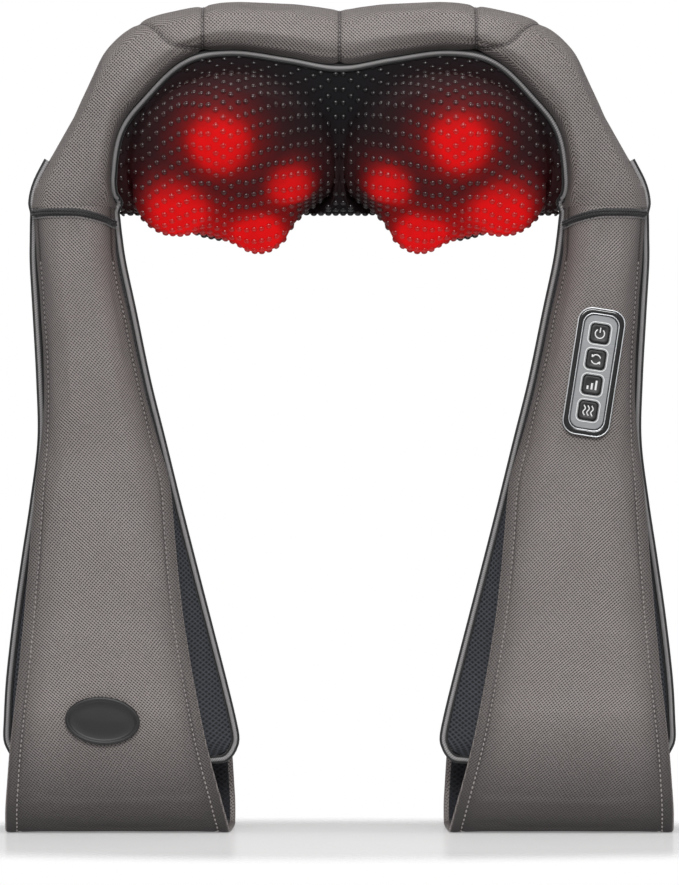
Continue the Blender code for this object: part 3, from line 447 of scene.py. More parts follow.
# ---- materials ----
class Graph:
    """A short way to write a material's nodes."""

    def __init__(self, name, colour, roughness, metallic=0.0):
        self.material = bpy.data.materials.new(name)
        self.material.use_nodes = True
        self.tree = self.material.node_tree
        self.shader = self.tree.nodes["Principled BSDF"]
        self.set(colour=colour, roughness=roughness, metallic=metallic)

    def set(self, **values):
        names = {
            "colour": "Base Color",
            "roughness": "Roughness",
            "metallic": "Metallic",
            "normal": "Normal",
            "sheen": "Sheen Weight",
            "sheen_roughness": "Sheen Roughness",
            "coat": "Coat Weight",
            "coat_roughness": "Coat Roughness",
            "specular": "Specular IOR Level",
            "subsurface": "Subsurface Weight",
            "glow_colour": "Emission Color",
            "glow": "Emission Strength",
        }
        for key, value in values.items():
            self.put(self.shader.inputs[names[key]], value)

    def put(self, socket, value):
        if isinstance(value, bpy.types.NodeSocket):
            self.tree.links.new(value, socket)
        elif hasattr(value, "__len__") and len(value) == 3 and socket.type == "RGBA":
            socket.default_value = (*value, 1.0)
        else:
            socket.default_value = value

    def node(self, kind, inputs=(), **settings):
        made = self.tree.nodes.new("ShaderNode" + kind)
        for key, value in settings.items():
            setattr(made, key, value)
        for key, value in dict(inputs).items():
            self.put(made.inputs[key], value)
        return made

    def object_place(self):
        return self.node("TexCoord").outputs["Object"]

    def weave_uv(self):
        return self.node("UVMap", uv_map="weave").outputs["UV"]

    def box_uv(self):
        """Millimetres across whichever of the three main planes the surface faces most."""
        place = self.node("SeparateXYZ", {"Vector": self.object_place()}).outputs
        facing = self.node("SeparateXYZ", {"Vector": self.node("NewGeometry").outputs["Normal"]}).outputs
        x, y, z = (self.math("MULTIPLY", place[k], 1 / MM) for k in range(3))
        nx, ny, nz = (self.math("ABSOLUTE", facing[k]) for k in range(3))
        front = self.node("CombineXYZ", {0: x, 1: z}).outputs[0]
        top = self.node("CombineXYZ", {0: x, 1: y}).outputs[0]
        end = self.node("CombineXYZ", {0: y, 1: z}).outputs[0]
        flat = self.mix(self.math("GREATER_THAN", nz, ny), front, top)
        return self.mix(self.math("GREATER_THAN", nx, self.math("MAXIMUM", ny, nz)), flat, end)

    def math(self, operation, a, b=0.0, clamp=False):
        return self.node("Math", {0: a, 1: b}, operation=operation, use_clamp=clamp).outputs[0]

    def noise(self, scale, detail=3.0, vector=None, roughness=0.5):
        inputs = {"Scale": scale, "Detail": detail, "Roughness": roughness}
        if vector is not None:
            inputs["Vector"] = vector
        return self.node("TexNoise", inputs).outputs["Fac"]

    def ramp(self, value, stops):
        made = self.node("ValToRGB", {"Fac": value})
        line = made.color_ramp
        while len(line.elements) < len(stops):
            line.elements.new(0.5)
        for element, (place, colour) in zip(line.elements, stops):
            element.position = place
            element.color = (*colour, 1.0) if len(colour) == 3 else colour
        return made.outputs["Color"]

    def span(self, value, low, high):
        """Maps 0..1 onto low..high."""
        return self.node("MapRange", {"Value": value, "To Min": low, "To Max": high}).outputs["Result"]

    def mix(self, share, a, b, blend="MIX"):
        made = self.node("Mix", data_type="RGBA", blend_type=blend)
        self.put(made.inputs["Factor"], share)
        self.put(made.inputs[6], a)
        self.put(made.inputs[7], b)
        return made.outputs[2]

    def attribute(self, name):
        return self.node("Attribute", attribute_name=name).outputs["Fac"]

    def ridges(self, uv, pitch, degrees):
        """0 in the grooves and 1 on the crests of parallel ridges across a UV map in mm."""
        angle = math.radians(degrees)
        split = self.node("SeparateXYZ", {"Vector": uv})
        u = self.math("MULTIPLY", split.outputs["X"], math.pi * math.cos(angle) / pitch)
        v = self.math("MULTIPLY", split.outputs["Y"], math.pi * math.sin(angle) / pitch)
        return self.math("ABSOLUTE", self.math("SINE", self.math("ADD", u, v)))

    def bump(self, height, depth_mm, strength=1.0):
        made = self.node("Bump", {"Strength": strength, "Distance": depth_mm * MM, "Height": height})
        self.set(normal=made.outputs["Normal"])


def leather_material(name, rigid):
    """Taupe leather with a printed cross-hatch grain, which only a rigid piece may take from space."""
    g = Graph(name, (0.2, 0.17, 0.16), 0.5)
    uv = g.box_uv() if rigid else g.weave_uv()
    wobble = g.noise(0.35, 2.0, uv)
    first, second = g.ridges(uv, 1.5, 47), g.ridges(uv, 1.5, -43)
    lean = g.noise(0.04, 2.0, uv)
    first = g.math("MULTIPLY", first, g.span(lean, 0.75, 1.0))
    second = g.math("MULTIPLY", second, g.span(lean, 0.95, 0.65))
    grain = g.math("POWER", g.math("MAXIMUM", first, second), 2.6)
    grain = g.math("MULTIPLY", grain, g.span(wobble, 0.80, 1.15))
    patches = g.noise(0.03, 4.0, uv)
    low = g.mix(patches, (0.012, 0.010, 0.009), (0.007, 0.006, 0.006))
    high = g.mix(patches, (0.41, 0.36, 0.345), (0.53, 0.475, 0.46))
    base = g.mix(g.math("POWER", grain, 1.1, True), low, high)
    # This attribute darkens the leather at its stitched seams and hems, and also carries painted shade: near
    # the collar's piping, along the straps' edges and towards the straps' bottoms.
    seam_and_shade = g.attribute("seam_and_shade")
    g.set(colour=g.mix(seam_and_shade, base, (0.018, 0.015, 0.015)))
    g.set(roughness=g.span(grain, 0.60, 0.38), specular=0.36)
    g.bump(grain, 0.34, 0.9)
    return g.material


def cover_material():
    """Black stretch knit that the lamps and nodes behind it light red."""
    g = Graph("stretch_cover", (0.012, 0.012, 0.014), 0.7)
    uv = g.weave_uv()
    knit = g.math("MULTIPLY", g.ridges(uv, 0.9, 60), g.ridges(uv, 0.9, -60))
    cloudy = g.noise(0.09, 4.0, uv)
    lit = g.attribute("glow")
    lit = g.math("MULTIPLY", lit, g.span(cloudy, 0.78, 1.2))
    black = g.mix(knit, (0.004, 0.004, 0.005), (0.018, 0.018, 0.020))
    g.set(colour=g.mix(g.math("MULTIPLY", lit, 1.0, True), black, (0.10, 0.0005, 0.0005)))
    stops = (
        (0.0, (0, 0, 0)),
        (0.12, (0.02, 0.001, 0.0015)),
        (0.45, (0.26, 0.001, 0.001)),
        (1.0, (1.0, 0.006, 0.008)),
    )
    g.set(glow_colour=g.ramp(lit, stops), glow=g.span(knit, 0.55, 0.72))
    g.set(roughness=g.span(knit, 0.85, 0.6), sheen=0.0, specular=0.1)
    g.bump(knit, 0.18, 0.7)
    return g.material


def dot_material():
    """Small moulded silicone dots on the cover."""
    g = Graph("silicone_dots", (0.02, 0.02, 0.022), 0.28)
    lit = g.attribute("glow")
    spots = g.noise(900.0, 2.0, g.object_place())
    g.set(colour=g.mix(lit, (0.012, 0.012, 0.013), (0.12, 0.002, 0.002)))
    stops = ((0.0, (0, 0, 0)), (0.3, (0.03, 0.001, 0.0015)), (1.0, (0.5, 0.003, 0.004)))
    g.set(glow_colour=g.ramp(lit, stops), glow=0.75)
    g.set(roughness=g.span(spots, 0.16, 0.3), coat=0.2, coat_roughness=0.12, specular=0.4)
    return g.material


def air_mesh_material(name, tint, pitch=3.1):
    """Black spacer mesh: a diamond net over dark holes."""
    g = Graph(name, (0.02, 0.02, 0.025), 0.7)
    uv = g.weave_uv()
    net = g.math("MULTIPLY", g.ridges(uv, pitch, 55), g.ridges(uv, pitch, -55))
    holes = g.math("SUBTRACT", 1.0, g.math("POWER", net, 0.6, True))
    threads = g.ridges(uv, 0.42, 90)
    height = g.math("ADD", holes, g.math("MULTIPLY", threads, 0.18))
    patches = g.noise(0.05, 3.0, uv)
    thread_colour = g.mix(patches, tint, tuple(1.5 * c for c in tint))
    g.set(colour=g.mix(g.math("POWER", holes, 0.8, True), (0.002, 0.002, 0.003), thread_colour))
    g.set(roughness=g.span(threads, 0.75, 0.5), sheen=0.08, sheen_roughness=0.35, specular=0.3)
    g.bump(height, 0.5, 0.9)
    return g.material


def cord_material(name, dark, light, pitch=1.1):
    """Covered piping cord or thread, wrapped on the slant."""
    g = Graph(name, light, 0.4)
    uv = g.weave_uv()
    wrap = g.ridges(uv, pitch, 52)
    worn = g.noise(0.12, 3.0, uv)
    g.set(colour=g.mix(g.math("MULTIPLY", wrap, g.span(worn, 0.7, 1.0), True), dark, light))
    g.set(roughness=g.span(wrap, 0.6, 0.36), sheen=0.2, sheen_roughness=0.4)
    g.bump(wrap, 0.16, 0.8)
    return g.material


def plain_noise_material(name, low, high, roughness, metallic=0.0, scale=350.0, depth=0.05, **extra):
    """Moulded, cast or foamed stuff: a fine random surface with some variation in colour."""
    g = Graph(name, high, roughness[0], metallic)
    place = g.object_place()
    fine = g.noise(scale * 4, 4.0, place, 0.6)
    broad = g.noise(scale / 12, 3.0, place)
    g.set(colour=g.mix(g.math("MULTIPLY", g.math("ADD", fine, broad), 0.5), low, high))
    g.set(roughness=g.span(fine, *roughness))
    g.set(**extra)
    g.bump(fine, depth, 0.7)
    return g.material


def brushed_material(name, low, high, roughness, metallic):
    """Brushed or turned metal with fine lines along one direction."""
    g = Graph(name, high, roughness[0], metallic)
    place = g.object_place()
    stretched = g.node("Mapping", {"Vector": place, "Scale": (60.0, 3000.0, 3000.0)}).outputs["Vector"]
    lines = g.noise(1.0, 3.0, stretched)
    g.set(colour=g.mix(lines, low, high), roughness=g.span(lines, *roughness))
    g.bump(lines, 0.02, 0.6)
    return g.material


def foam_material():
    """Open-cell foam."""
    g = Graph("open_cell_foam", (0.6, 0.58, 0.5), 0.95)
    place = g.object_place()
    cells = g.node("TexVoronoi", {"Vector": place, "Scale": 1400.0}).outputs["Distance"]
    g.set(colour=g.mix(cells, (0.35, 0.33, 0.27), (0.66, 0.63, 0.54)), sheen=0.2)
    g.bump(cells, 0.4, 0.9)
    return g.material


def board_material():
    """Green circuit board with fine copper tracks under the lacquer."""
    g = Graph("circuit_board", (0.02, 0.13, 0.06), 0.35)
    place = g.object_place()
    tracks = g.node("TexBrick", {"Vector": place, "Scale": 260.0, "Mortar Size": 0.03}).outputs["Fac"]
    g.set(colour=g.mix(tracks, (0.012, 0.095, 0.04), (0.06, 0.26, 0.1)), coat=0.5, coat_roughness=0.15)
    g.bump(tracks, 0.03, 0.6)
    return g.material


MATS = {
    "leather": leather_material("strap_leather", False),
    "collar_leather": leather_material("collar_leather", True),
    "cover": cover_material(),
    "dots": dot_material(),
    "pad_mesh": air_mesh_material("pad_air_mesh", (0.060, 0.064, 0.076), 2.4),
    "lining": air_mesh_material("strap_lining_mesh", (0.020, 0.021, 0.027), 2.4),
    "piping": cord_material("grey_piping", (0.13, 0.125, 0.125), (0.42, 0.41, 0.41)),
    "welt": cord_material("black_welt", (0.004, 0.004, 0.004), (0.020, 0.020, 0.021), 0.8),
    "thread": cord_material("taupe_thread", (0.16, 0.14, 0.135), (0.42, 0.38, 0.365), 0.5),
    "grey_thread": cord_material("grey_thread", (0.10, 0.10, 0.10), (0.32, 0.31, 0.31), 0.5),
    "trim": cord_material("black_braid", (0.002, 0.002, 0.002), (0.030, 0.030, 0.032), 0.7),
    "foam": foam_material(),
    "housing": plain_noise_material(
        "moulded_housing", (0.030, 0.030, 0.032), (0.055, 0.055, 0.058), (0.42, 0.6),
    ),
    "gear": plain_noise_material(
        "acetal_gear", (0.68, 0.66, 0.60), (0.82, 0.80, 0.74), (0.32, 0.48), subsurface=0.1,
    ),
    # Painted glow: the red nodes give out light of their own, standing in for the red light that shines
    # through them from inside the heads.
    "node": plain_noise_material(
        "red_node_plastic", (0.42, 0.004, 0.004), (0.72, 0.012, 0.010), (0.18, 0.32),
        depth=0.02, coat=0.4, glow=0.5, glow_colour=(0.8, 0.01, 0.01),
    ),
    "steel": brushed_material(
        "brushed_steel", (0.42, 0.43, 0.44), (0.62, 0.63, 0.64), (0.24, 0.42), 1.0,
    ),
    "brass": brushed_material(
        "sintered_brass", (0.55, 0.38, 0.17), (0.76, 0.58, 0.30), (0.3, 0.5), 1.0,
    ),
    "silver_plastic": brushed_material(
        "silver_panel", (0.20, 0.205, 0.215), (0.33, 0.34, 0.35), (0.36, 0.48), 0.3,
    ),
    "black_plastic": plain_noise_material(
        "gloss_black", (0.006, 0.006, 0.006), (0.014, 0.014, 0.015), (0.14, 0.24),
        scale=200.0, depth=0.01, coat=0.6,
    ),
    "board": board_material(),
    "wire": plain_noise_material("cable_jacket", (0.03, 0.03, 0.03), (0.06, 0.06, 0.06), (0.45, 0.6)),
    "rubber": plain_noise_material(
        "black_rubber", (0.004, 0.004, 0.004), (0.011, 0.011, 0.012), (0.38, 0.52),
    ),
    "chrome": brushed_material(
        "chrome_line", (0.60, 0.61, 0.63), (0.74, 0.75, 0.77), (0.34, 0.44), 1.0,
    ),
    "icon": plain_noise_material(
        "white_icon", (0.72, 0.72, 0.72), (0.86, 0.86, 0.86), (0.4, 0.5), depth=0.01,
    ),
}
SLOT_MATERIALS = {"mesh_fabric": "cover"}  # the other slots have the names of their materials


def dress_cad_nodes():
    """Gives every CAD node the material of its slot in the record."""
    for row in frame["record"]["subparts"]:
        obj = NODES[row["node"]]
        obj.data.materials.clear()
        slot = row["material_slot"]
        obj.data.materials.append(MATS[SLOT_MATERIALS.get(slot, slot)])
        obj.data.shade_smooth()
        obj.data.set_sharp_from_angle(angle=math.radians(35))


# ---- collar ----
def collar_rows(count):
    """The collar's section values from the left shoulder to the right one."""
    right = np.array(COLLAR_TABLE, float)
    left = right[:0:-1].copy()
    left[:, (0, 2)] *= -1
    return smooth_rows(np.vstack([left, right]), count)


def section_points(row, count, inset):
    """One collar section's skin, inset mm inside: from the piping over the top to the back edge."""
    share, piping_y, front_y, ridge_y, back_y, edge_share, edge_y = row[4:]
    rest = 1 - share
    skin = smooth_rows(
        (
            (piping_y, share),
            (piping_y + 0.72 * (front_y - piping_y), share + 0.14 * rest),
            (front_y, share + 0.42 * rest),
            (front_y + 0.28 * (ridge_y - front_y), share + 0.83 * rest),
            (ridge_y, 1.0),
            (ridge_y + 0.62 * (back_y - ridge_y), 0.935),
            (ridge_y + 0.93 * (back_y - ridge_y), 0.75),
            (back_y, 0.50),
            (back_y + 0.30 * (edge_y - back_y), 0.27),
            (edge_y, edge_share),
        ),
        count,
    )
    foot, top = np.array([row[0], row[1]]), np.array([row[2], row[3]])
    length = np.linalg.norm(top - foot)
    skin[:, 1] *= length
    run = unit(np.gradient(skin, axis=0))
    skin += inset * np.column_stack([run[:, 1], -run[:, 0]])
    flat = foot + skin[:, 1:] * (top - foot) / length
    return np.column_stack([flat[:, 0], skin[:, 0], flat[:, 1]])


def collar_grid(stations, count, inset=0.0):
    return np.array([section_points(row, count, inset) for row in collar_rows(stations)])


def edge_direction(grid):
    """At each station, the way out of a skin across its first edge."""
    along = unit(np.gradient(grid[:, 0], axis=0))
    away = grid[:, 0] - grid[:, 1]
    away -= np.sum(away * along, axis=1, keepdims=True) * along
    return unit(away)


def on_grid(grid, station, section):
    """Points of a grid at fractional places, each from 0 to 1."""
    rows, columns = grid.shape[:2]
    a = np.clip(np.asarray(station) * (rows - 1), 0, rows - 1.001)
    b = np.clip(np.asarray(section) * (columns - 1), 0, columns - 1.001)
    i, j = a.astype(int), b.astype(int)
    s, t = (a - i)[:, None], (b - j)[:, None]
    top = grid[i, j] * (1 - t) + grid[i, j + 1] * t
    return top * (1 - s) + (grid[i + 1, j] * (1 - t) + grid[i + 1, j + 1] * t) * s


# Places on the collar, as a share of its length from its middle
PANEL_SEAM = 0.1280  # the seams between the middle and shoulder panels
GUSSET_END = 0.2060  # where the gusset's slanting seam reaches the ridge
RIDGE_SHARE = 0.445  # where the ridge is, as a share of the way over the collar


def collar_seams():
    """Each seam as (stations, sections) of the collar's grid."""
    t = np.linspace(0, 1, 160)
    seams = [(np.full_like(t, 0.5), t)]
    for side in (-1, 1):
        seams.append((np.full_like(t, 0.5 + side * PANEL_SEAM), t))
        rise = np.minimum(t / 0.5, 1.0)
        station = 0.5 + side * (PANEL_SEAM + (GUSSET_END - PANEL_SEAM) * rise)
        behind = RIDGE_SHARE + (1 - RIDGE_SHARE) * (2 * t - 1)
        section = np.where(t < 0.5, 0.02 + (RIDGE_SHARE - 0.02) * rise, behind)
        seams.append((station, section))
    return seams


def nearest(points, line):
    """Each point's distance to a line's points."""
    flat = points.reshape(-1, 3)
    best = np.full(len(flat), 1e9)
    for start in range(0, len(line), 40):
        gaps = flat[:, None] - line[None, start : start + 40]
        best = np.minimum(best, np.einsum("ijk,ijk->ij", gaps, gaps).min(axis=1))
    return np.sqrt(best).reshape(points.shape[:-1])


def paint(obj, name, values):
    """Stores one number for each vertex under an attribute's name."""
    layer = obj.data.attributes.get(name) or obj.data.attributes.new(name, "FLOAT", "POINT")
    layer.data.foreach_set("value", np.asarray(values, np.float32).ravel())


def build_collar():
    """The collar's leather, swollen between its seams, then the seams' stitches and the neck piping."""
    coarse = collar_grid(121, 41)
    seams = collar_seams()
    lines = [on_grid(coarse, *seam_and_shade) for seam_and_shade in seams]
    distance = np.min([nearest(coarse, line) for line in lines], axis=0)
    pinned = (distance < 2.6).astype(float)
    pinned[:2] = pinned[-2:] = 1.0
    pinned[:, :2] = pinned[:, -2:] = 1.0
    swollen = inflate(coarse, pinned, *COLLAR_SWELL)

    outer = refine(swollen, 361, 121)
    normal = surface_normals(outer, (0, 0, 1))
    lines = [on_grid(outer, *seam_and_shade) for seam_and_shade in seams]
    gaps = [nearest(outer, line) for line in lines]
    groove = sum(np.exp(-((gap / 2.0) ** 2)) + 0.5 * np.exp(-((gap / 7.0) ** 2)) for gap in gaps)
    groove = np.minimum(groove, 1.5)
    folds = np.zeros_like(groove)
    station = np.linspace(0, 1, 361)[:, None]
    section = np.linspace(0, 1, 121)[None, :]
    for gap, phase in zip(gaps, (0.0, 1.1, 2.3, 3.0, 4.4)):
        reach = np.exp(-((gap / 9.0) ** 2)) * (1 - np.exp(-((gap / 2.4) ** 2)))
        folds += reach * np.sin(section * 95 + 2.2 * np.sin(station * 37 + phase) + phase)
    tuck = np.exp(-((lengths(outer[180]) / 3.2) ** 2))[None, :]
    level = -1.25 * groove + 0.16 * folds - 0.4 * tuck
    outer = outer + normal * level[..., None]
    inner = outer - surface_normals(outer, (0, 0, 1)) * LEATHER
    skin = shell("collar_leather", outer, inner, MATS["collar_leather"])
    ring = 2 * outer.shape[1] + 6
    seam_and_shade = np.zeros((outer.shape[0], ring))
    # Painted shade: the leather darkens within a few mm of the neck piping, on top of the dark stitched
    # seams.
    painted_piping_shade = 0.25 * np.exp(-((lengths(outer.transpose(1, 0, 2)).T / 5.0) ** 2))
    seam_and_shade[:, : outer.shape[1]] = np.maximum(np.exp(-((np.min(gaps, axis=0) / 0.85) ** 2)), painted_piping_shade)
    paint(skin, "seam_and_shade", seam_and_shade)
    attach(skin, "collar", "leather", "collar_cover", "collar_foam")

    made = Builder()
    normal = surface_normals(outer, (0, 0, 1))
    for seam_line in seams:
        line = on_grid(outer, *seam_line)
        out = unit(on_grid(normal, *seam_line))
        stitch_row(made, line[4:-4] + 0.25 * out[4:-4], out[4:-4], 3.0, (2.3, 0.55, 0.55))
    stitching = made.finish("collar_seam_stitches", MATS["thread"])
    attach(stitching, "collar", "leather")

    base = collar_grid(241, 41)
    path = base[:, 0] + 3.0 * edge_direction(base)
    build_piping("neck_piping_cord", path, "collar", "neck_piping")


def build_piping(name, path, body, node):
    """A grey cord in a black welt whose two lips show on either side of it."""
    cord = tube(name, path, 1.15, MATS["piping"], 12)
    tangent = unit(np.gradient(path, axis=0))
    across = unit(np.cross(tangent, (0.0, -1.0, 0.0)))
    made = Builder()
    for side in (-1, 1):
        made.loft(tube_rings(path + side * 1.6 * across + (0, 0.35, 0), 0.9, 8))
    welt = made.finish(name.replace("cord", "welt"), MATS["welt"])
    bends = body != "collar"
    attach(cord, body, "piping", node, bends=bends)
    attach(welt, body, "piping", bends=bends)


# ---- massage cover ----
TILT = math.radians(HEAD_TILT)
HEAD_AXIS = np.array([0.0, -math.cos(TILT), -math.sin(TILT)])  # out of the head's face
HEAD_UP = np.array([0.0, -math.sin(TILT), math.cos(TILT)])
# Radii of the band where the cover twists: under the head, and elsewhere
TURN_R, TURN_OUT = 54.3, (59.4, 62.3)
TURN_TOP, TURN_BOTTOM = -17.0, -25.0  # that band's ends along the head's axis, under the head
SWEEP_R = LARGE_R + 1.5
LIGHT_SHARES = (1.0, 0.8, 0.82, 0.78)  # how brightly each node is lit, in the order of NODE_ANGLES
CAP_RINGS, TWIST_RINGS, OUTER_RINGS = 44, 14, 18
COVER_CLEARANCE = FABRIC + 0.9
DOT_SIDES = 9
DOT_PROFILE = ((1.95, -0.35), (1.85, 0.3), (1.5, 0.85), (0.85, 1.2))
DOT_POINTS = DOT_SIDES * len(DOT_PROFILE) + 2


def massage_nodes(side):
    """(centre, radius) of a head's four nodes."""
    origin = np.array([side * HEAD_X, HEAD_Y, HEAD_Z])
    found = []
    for name, degrees in NODE_ANGLES.items():
        turn = math.radians(degrees)
        radius = LARGE_R if name in ("upper", "outer") else SMALL_R
        across = -side * RING_R * math.sin(turn)
        found.append((origin + np.array([across, 0, 0]) + RING_R * math.cos(turn) * HEAD_UP, radius))
    return found


def outside_of(points, balls, clearance):
    for centre, radius in balls:
        away = points - centre
        distance = np.linalg.norm(away, axis=-1, keepdims=True)
        wanted = radius + clearance
        points = np.where(distance < wanted, centre + away * wanted / np.maximum(distance, 1e-6), points)
    return points


def outside_core(points):
    """Keeps the cover off the padding round the gearbox."""
    axis = points.copy()
    axis[..., 1:] = (CORE_Y, CORE_Z)
    away = points - axis
    distance = np.linalg.norm(away, axis=-1, keepdims=True)
    return np.where(distance < CORE_R, axis + away * CORE_R / np.maximum(distance, 1e-6), points)


def cover_boundary():
    """The left half cover's edge: along the piping, round the shoulder, along the back, up the middle."""
    skin = collar_grid(241, 41)[:121][::-1]
    top = skin[:, 0] + 3.0 * edge_direction(skin) + (0, 2.2, 0)
    down = unit(skin[:, -1] - skin[:, -2])
    bottom = skin[:, -1] + 1.6 * down
    t = np.linspace(0, 1, 60)[:, None]
    start, end = bottom[0], top[0]
    bend = (start + end) / 2 + np.array([0, -62.0, -38.0])
    middle = (1 - t) ** 2 * start + 2 * t * (1 - t) * bend + t**2 * end
    end_edge = np.linspace(top[-1], bottom[-1], 12)
    parts = ((top, 62), (end_edge, 6), (bottom[::-1], 52), (middle, 40))
    lines = [evenly_spaced(line, count + 1)[:-1] for line, count in parts]
    for line in lines:
        line[0, 0] = min(line[0, 0], 0.0)
    return np.concatenate(lines), sum(count for _, count in parts[:3])


def respace(grid):
    """Evens out the points along each column."""
    return np.array([evenly_spaced(column) for column in grid.transpose(1, 0, 2)]).transpose(1, 0, 2)


def outside_sweep(points, origin):
    """Keeps the still part of the cover off the ring that the large nodes sweep out."""
    offset = points - origin
    along = offset @ HEAD_AXIS
    flat = offset - along[..., None] * HEAD_AXIS
    radius = np.maximum(np.linalg.norm(flat, axis=-1), 1e-6)
    gap = np.maximum(np.hypot(radius - RING_R, along), 1e-6)
    grow = np.maximum(1, SWEEP_R / gap)
    new_radius = RING_R + (radius - RING_R) * grow
    moved = origin + flat * (new_radius / radius)[..., None] + (along * grow)[..., None] * HEAD_AXIS
    return np.where((radius > RING_R)[..., None], moved, points)


def left_cover():
    """Rows from the head's centre out to the cover's edge, and each row's share of the head's turn."""
    edge, first_middle = cover_boundary()
    origin = np.array([-HEAD_X, HEAD_Y, HEAD_Z])
    angle = np.arctan2((edge - origin) @ HEAD_UP, edge[:, 0] - origin[0])
    ray = np.cos(angle)[:, None] * (1.0, 0, 0) + np.sin(angle)[:, None] * HEAD_UP
    below = np.clip((np.abs(np.degrees(angle) + 92.0) - 46.0) / 26.0, 0, 1)
    below = 1 - below * below * (3 - 2 * below)  # 1 under the head, where the twist stays close in
    balls = massage_nodes(-1)

    phi = np.linspace(0.0, 2.0, CAP_RINGS)
    flat, along = 62 * np.sin(phi)[:, None, None], (30 * np.cos(phi) - 2)[:, None, None]
    cap = origin + flat * ray + along * HEAD_AXIS
    share = np.linspace(0, 1, TWIST_RINGS)[:, None]
    wanted_radius = (TURN_OUT[0] + share * (TURN_OUT[1] - TURN_OUT[0])) * (1 - below) + TURN_R * below
    wanted_along = TURN_TOP + share * (TURN_BOTTOM - TURN_TOP)
    twist = origin + wanted_radius[..., None] * ray + (wanted_along * below)[..., None] * HEAD_AXIS
    t = np.linspace(0, 1, OUTER_RINGS)[1:, None, None]
    rest = twist[-1][None] * (1 - t) + edge[None] * t
    grid = np.concatenate([cap[:-1], twist, rest])
    first_still = CAP_RINGS - 1 + TWIST_RINGS
    turned = slice(CAP_RINGS - 1, first_still)

    def hold(points):
        points = points.copy()
        points[: CAP_RINGS - 1] = outside_of(points[: CAP_RINGS - 1], balls, COVER_CLEARANCE)
        along = (points[turned] - origin) @ HEAD_AXIS
        along = np.maximum(along, -22.0) * (1 - below) + wanted_along * below
        points[turned] = origin + wanted_radius[..., None] * ray + along[..., None] * HEAD_AXIS
        points[turned] = outside_sweep(points[turned], origin)
        points[first_still:] = outside_sweep(outside_core(points[first_still:]), origin)
        return points

    middle = np.arange(first_middle + 1, len(edge))
    for turn in range(26):
        for _ in range(30):
            around = (np.roll(grid, 1, axis=1) + np.roll(grid, -1, axis=1)) / 2
            new = grid.copy()
            new[1:-1] = ((grid[:-2] + grid[2:]) / 2 + around[1:-1]) / 2
            new = hold(new)
            line, ghost = grid[-2, middle], grid[-2, middle] * (-1, 1, 1)
            pulled = ((line + ghost) / 2 + around[-1, middle]) / 2
            new[-1, middle] = outside_core(pulled * (0, 1, 1))
            new[-1, : first_middle + 1] = edge[: first_middle + 1]
            new[0] = new[1].mean(axis=0)
            grid = new
        if turn < 24:
            grid[:CAP_RINGS] = respace(grid[:CAP_RINGS])
            grid[first_still - 1 :] = respace(grid[first_still - 1 :])
    grid[0] = outside_of(grid[0], balls, COVER_CLEARANCE)

    share = np.linspace(1, 0, TWIST_RINGS)
    twist_share = share * share * (3 - 2 * share)
    turning = np.concatenate([np.ones(CAP_RINGS - 1), twist_share, np.zeros(OUTER_RINGS - 1)])
    return grid, turning


def red_light(points, side):
    """How brightly the lamps and nodes behind the cover light it at each point."""
    total = np.zeros(points.shape[:-1])
    for (centre, radius), power in zip(massage_nodes(side), LIGHT_SHARES):
        top = centre + HEAD_AXIS * radius
        gap = np.linalg.norm(points - top, axis=-1)
        core = np.exp(-((gap / (0.80 * radius)) ** 4))
        halo = np.exp(-((gap / (1.45 * radius)) ** 2))
        total = np.maximum(total, power * (0.66 * core + 0.34 * halo)) + 0.07 * halo
    low = np.clip((374.0 - points[..., 2]) / 24.0, 0, 1)
    low_side = low * np.clip((22.0 - points[..., 1]) / 24.0, 0, 1)  # the underside, and only at the front
    spread = np.exp(-(((np.abs(points[..., 0]) - HEAD_X - 6.0) / 46.0) ** 4))
    return np.minimum(total + 0.55 * low_side * spread, 1.0)


def cover_dots(sheet_points, sheet_faces, weights):
    """Places of the raised dots on the left half, in staggered columns at even steps down the cover."""
    tree = BVHTree.FromPolygons(sheet_points.tolist(), sheet_faces)
    middle_y, middle_z, far, pitch = 14.0, 396.0, 200.0, 8.5
    places = []
    for column in range(30):
        x = -2.2 - 4.35 * column
        line = []
        for degrees in np.arange(68.0, -150.0, -0.8):
            turn = math.radians(degrees)
            way = Vector((0, -math.cos(turn), math.sin(turn)))
            hit, normal, face, _ = tree.ray_cast(Vector((x, middle_y, middle_z)) + way * far, -way)
            if hit is not None:
                line.append((hit, normal if normal.dot(way) > 0 else -normal, face))
        if len(line) < 8:
            continue
        at = lengths(np.array([hit for hit, _, _ in line]))
        first = 5.0 + (pitch / 2 if column % 2 else 0.0)
        for target in np.arange(first, at[-1] - 4.0, pitch):
            places.append(line[int(np.searchsorted(at, target))])
    centre = np.array([hit for hit, _, _ in places])
    normal = np.array([n for _, n, _ in places])
    weight = np.array([weights[list(sheet_faces[face])].mean() for _, _, face in places])
    return centre, normal, weight


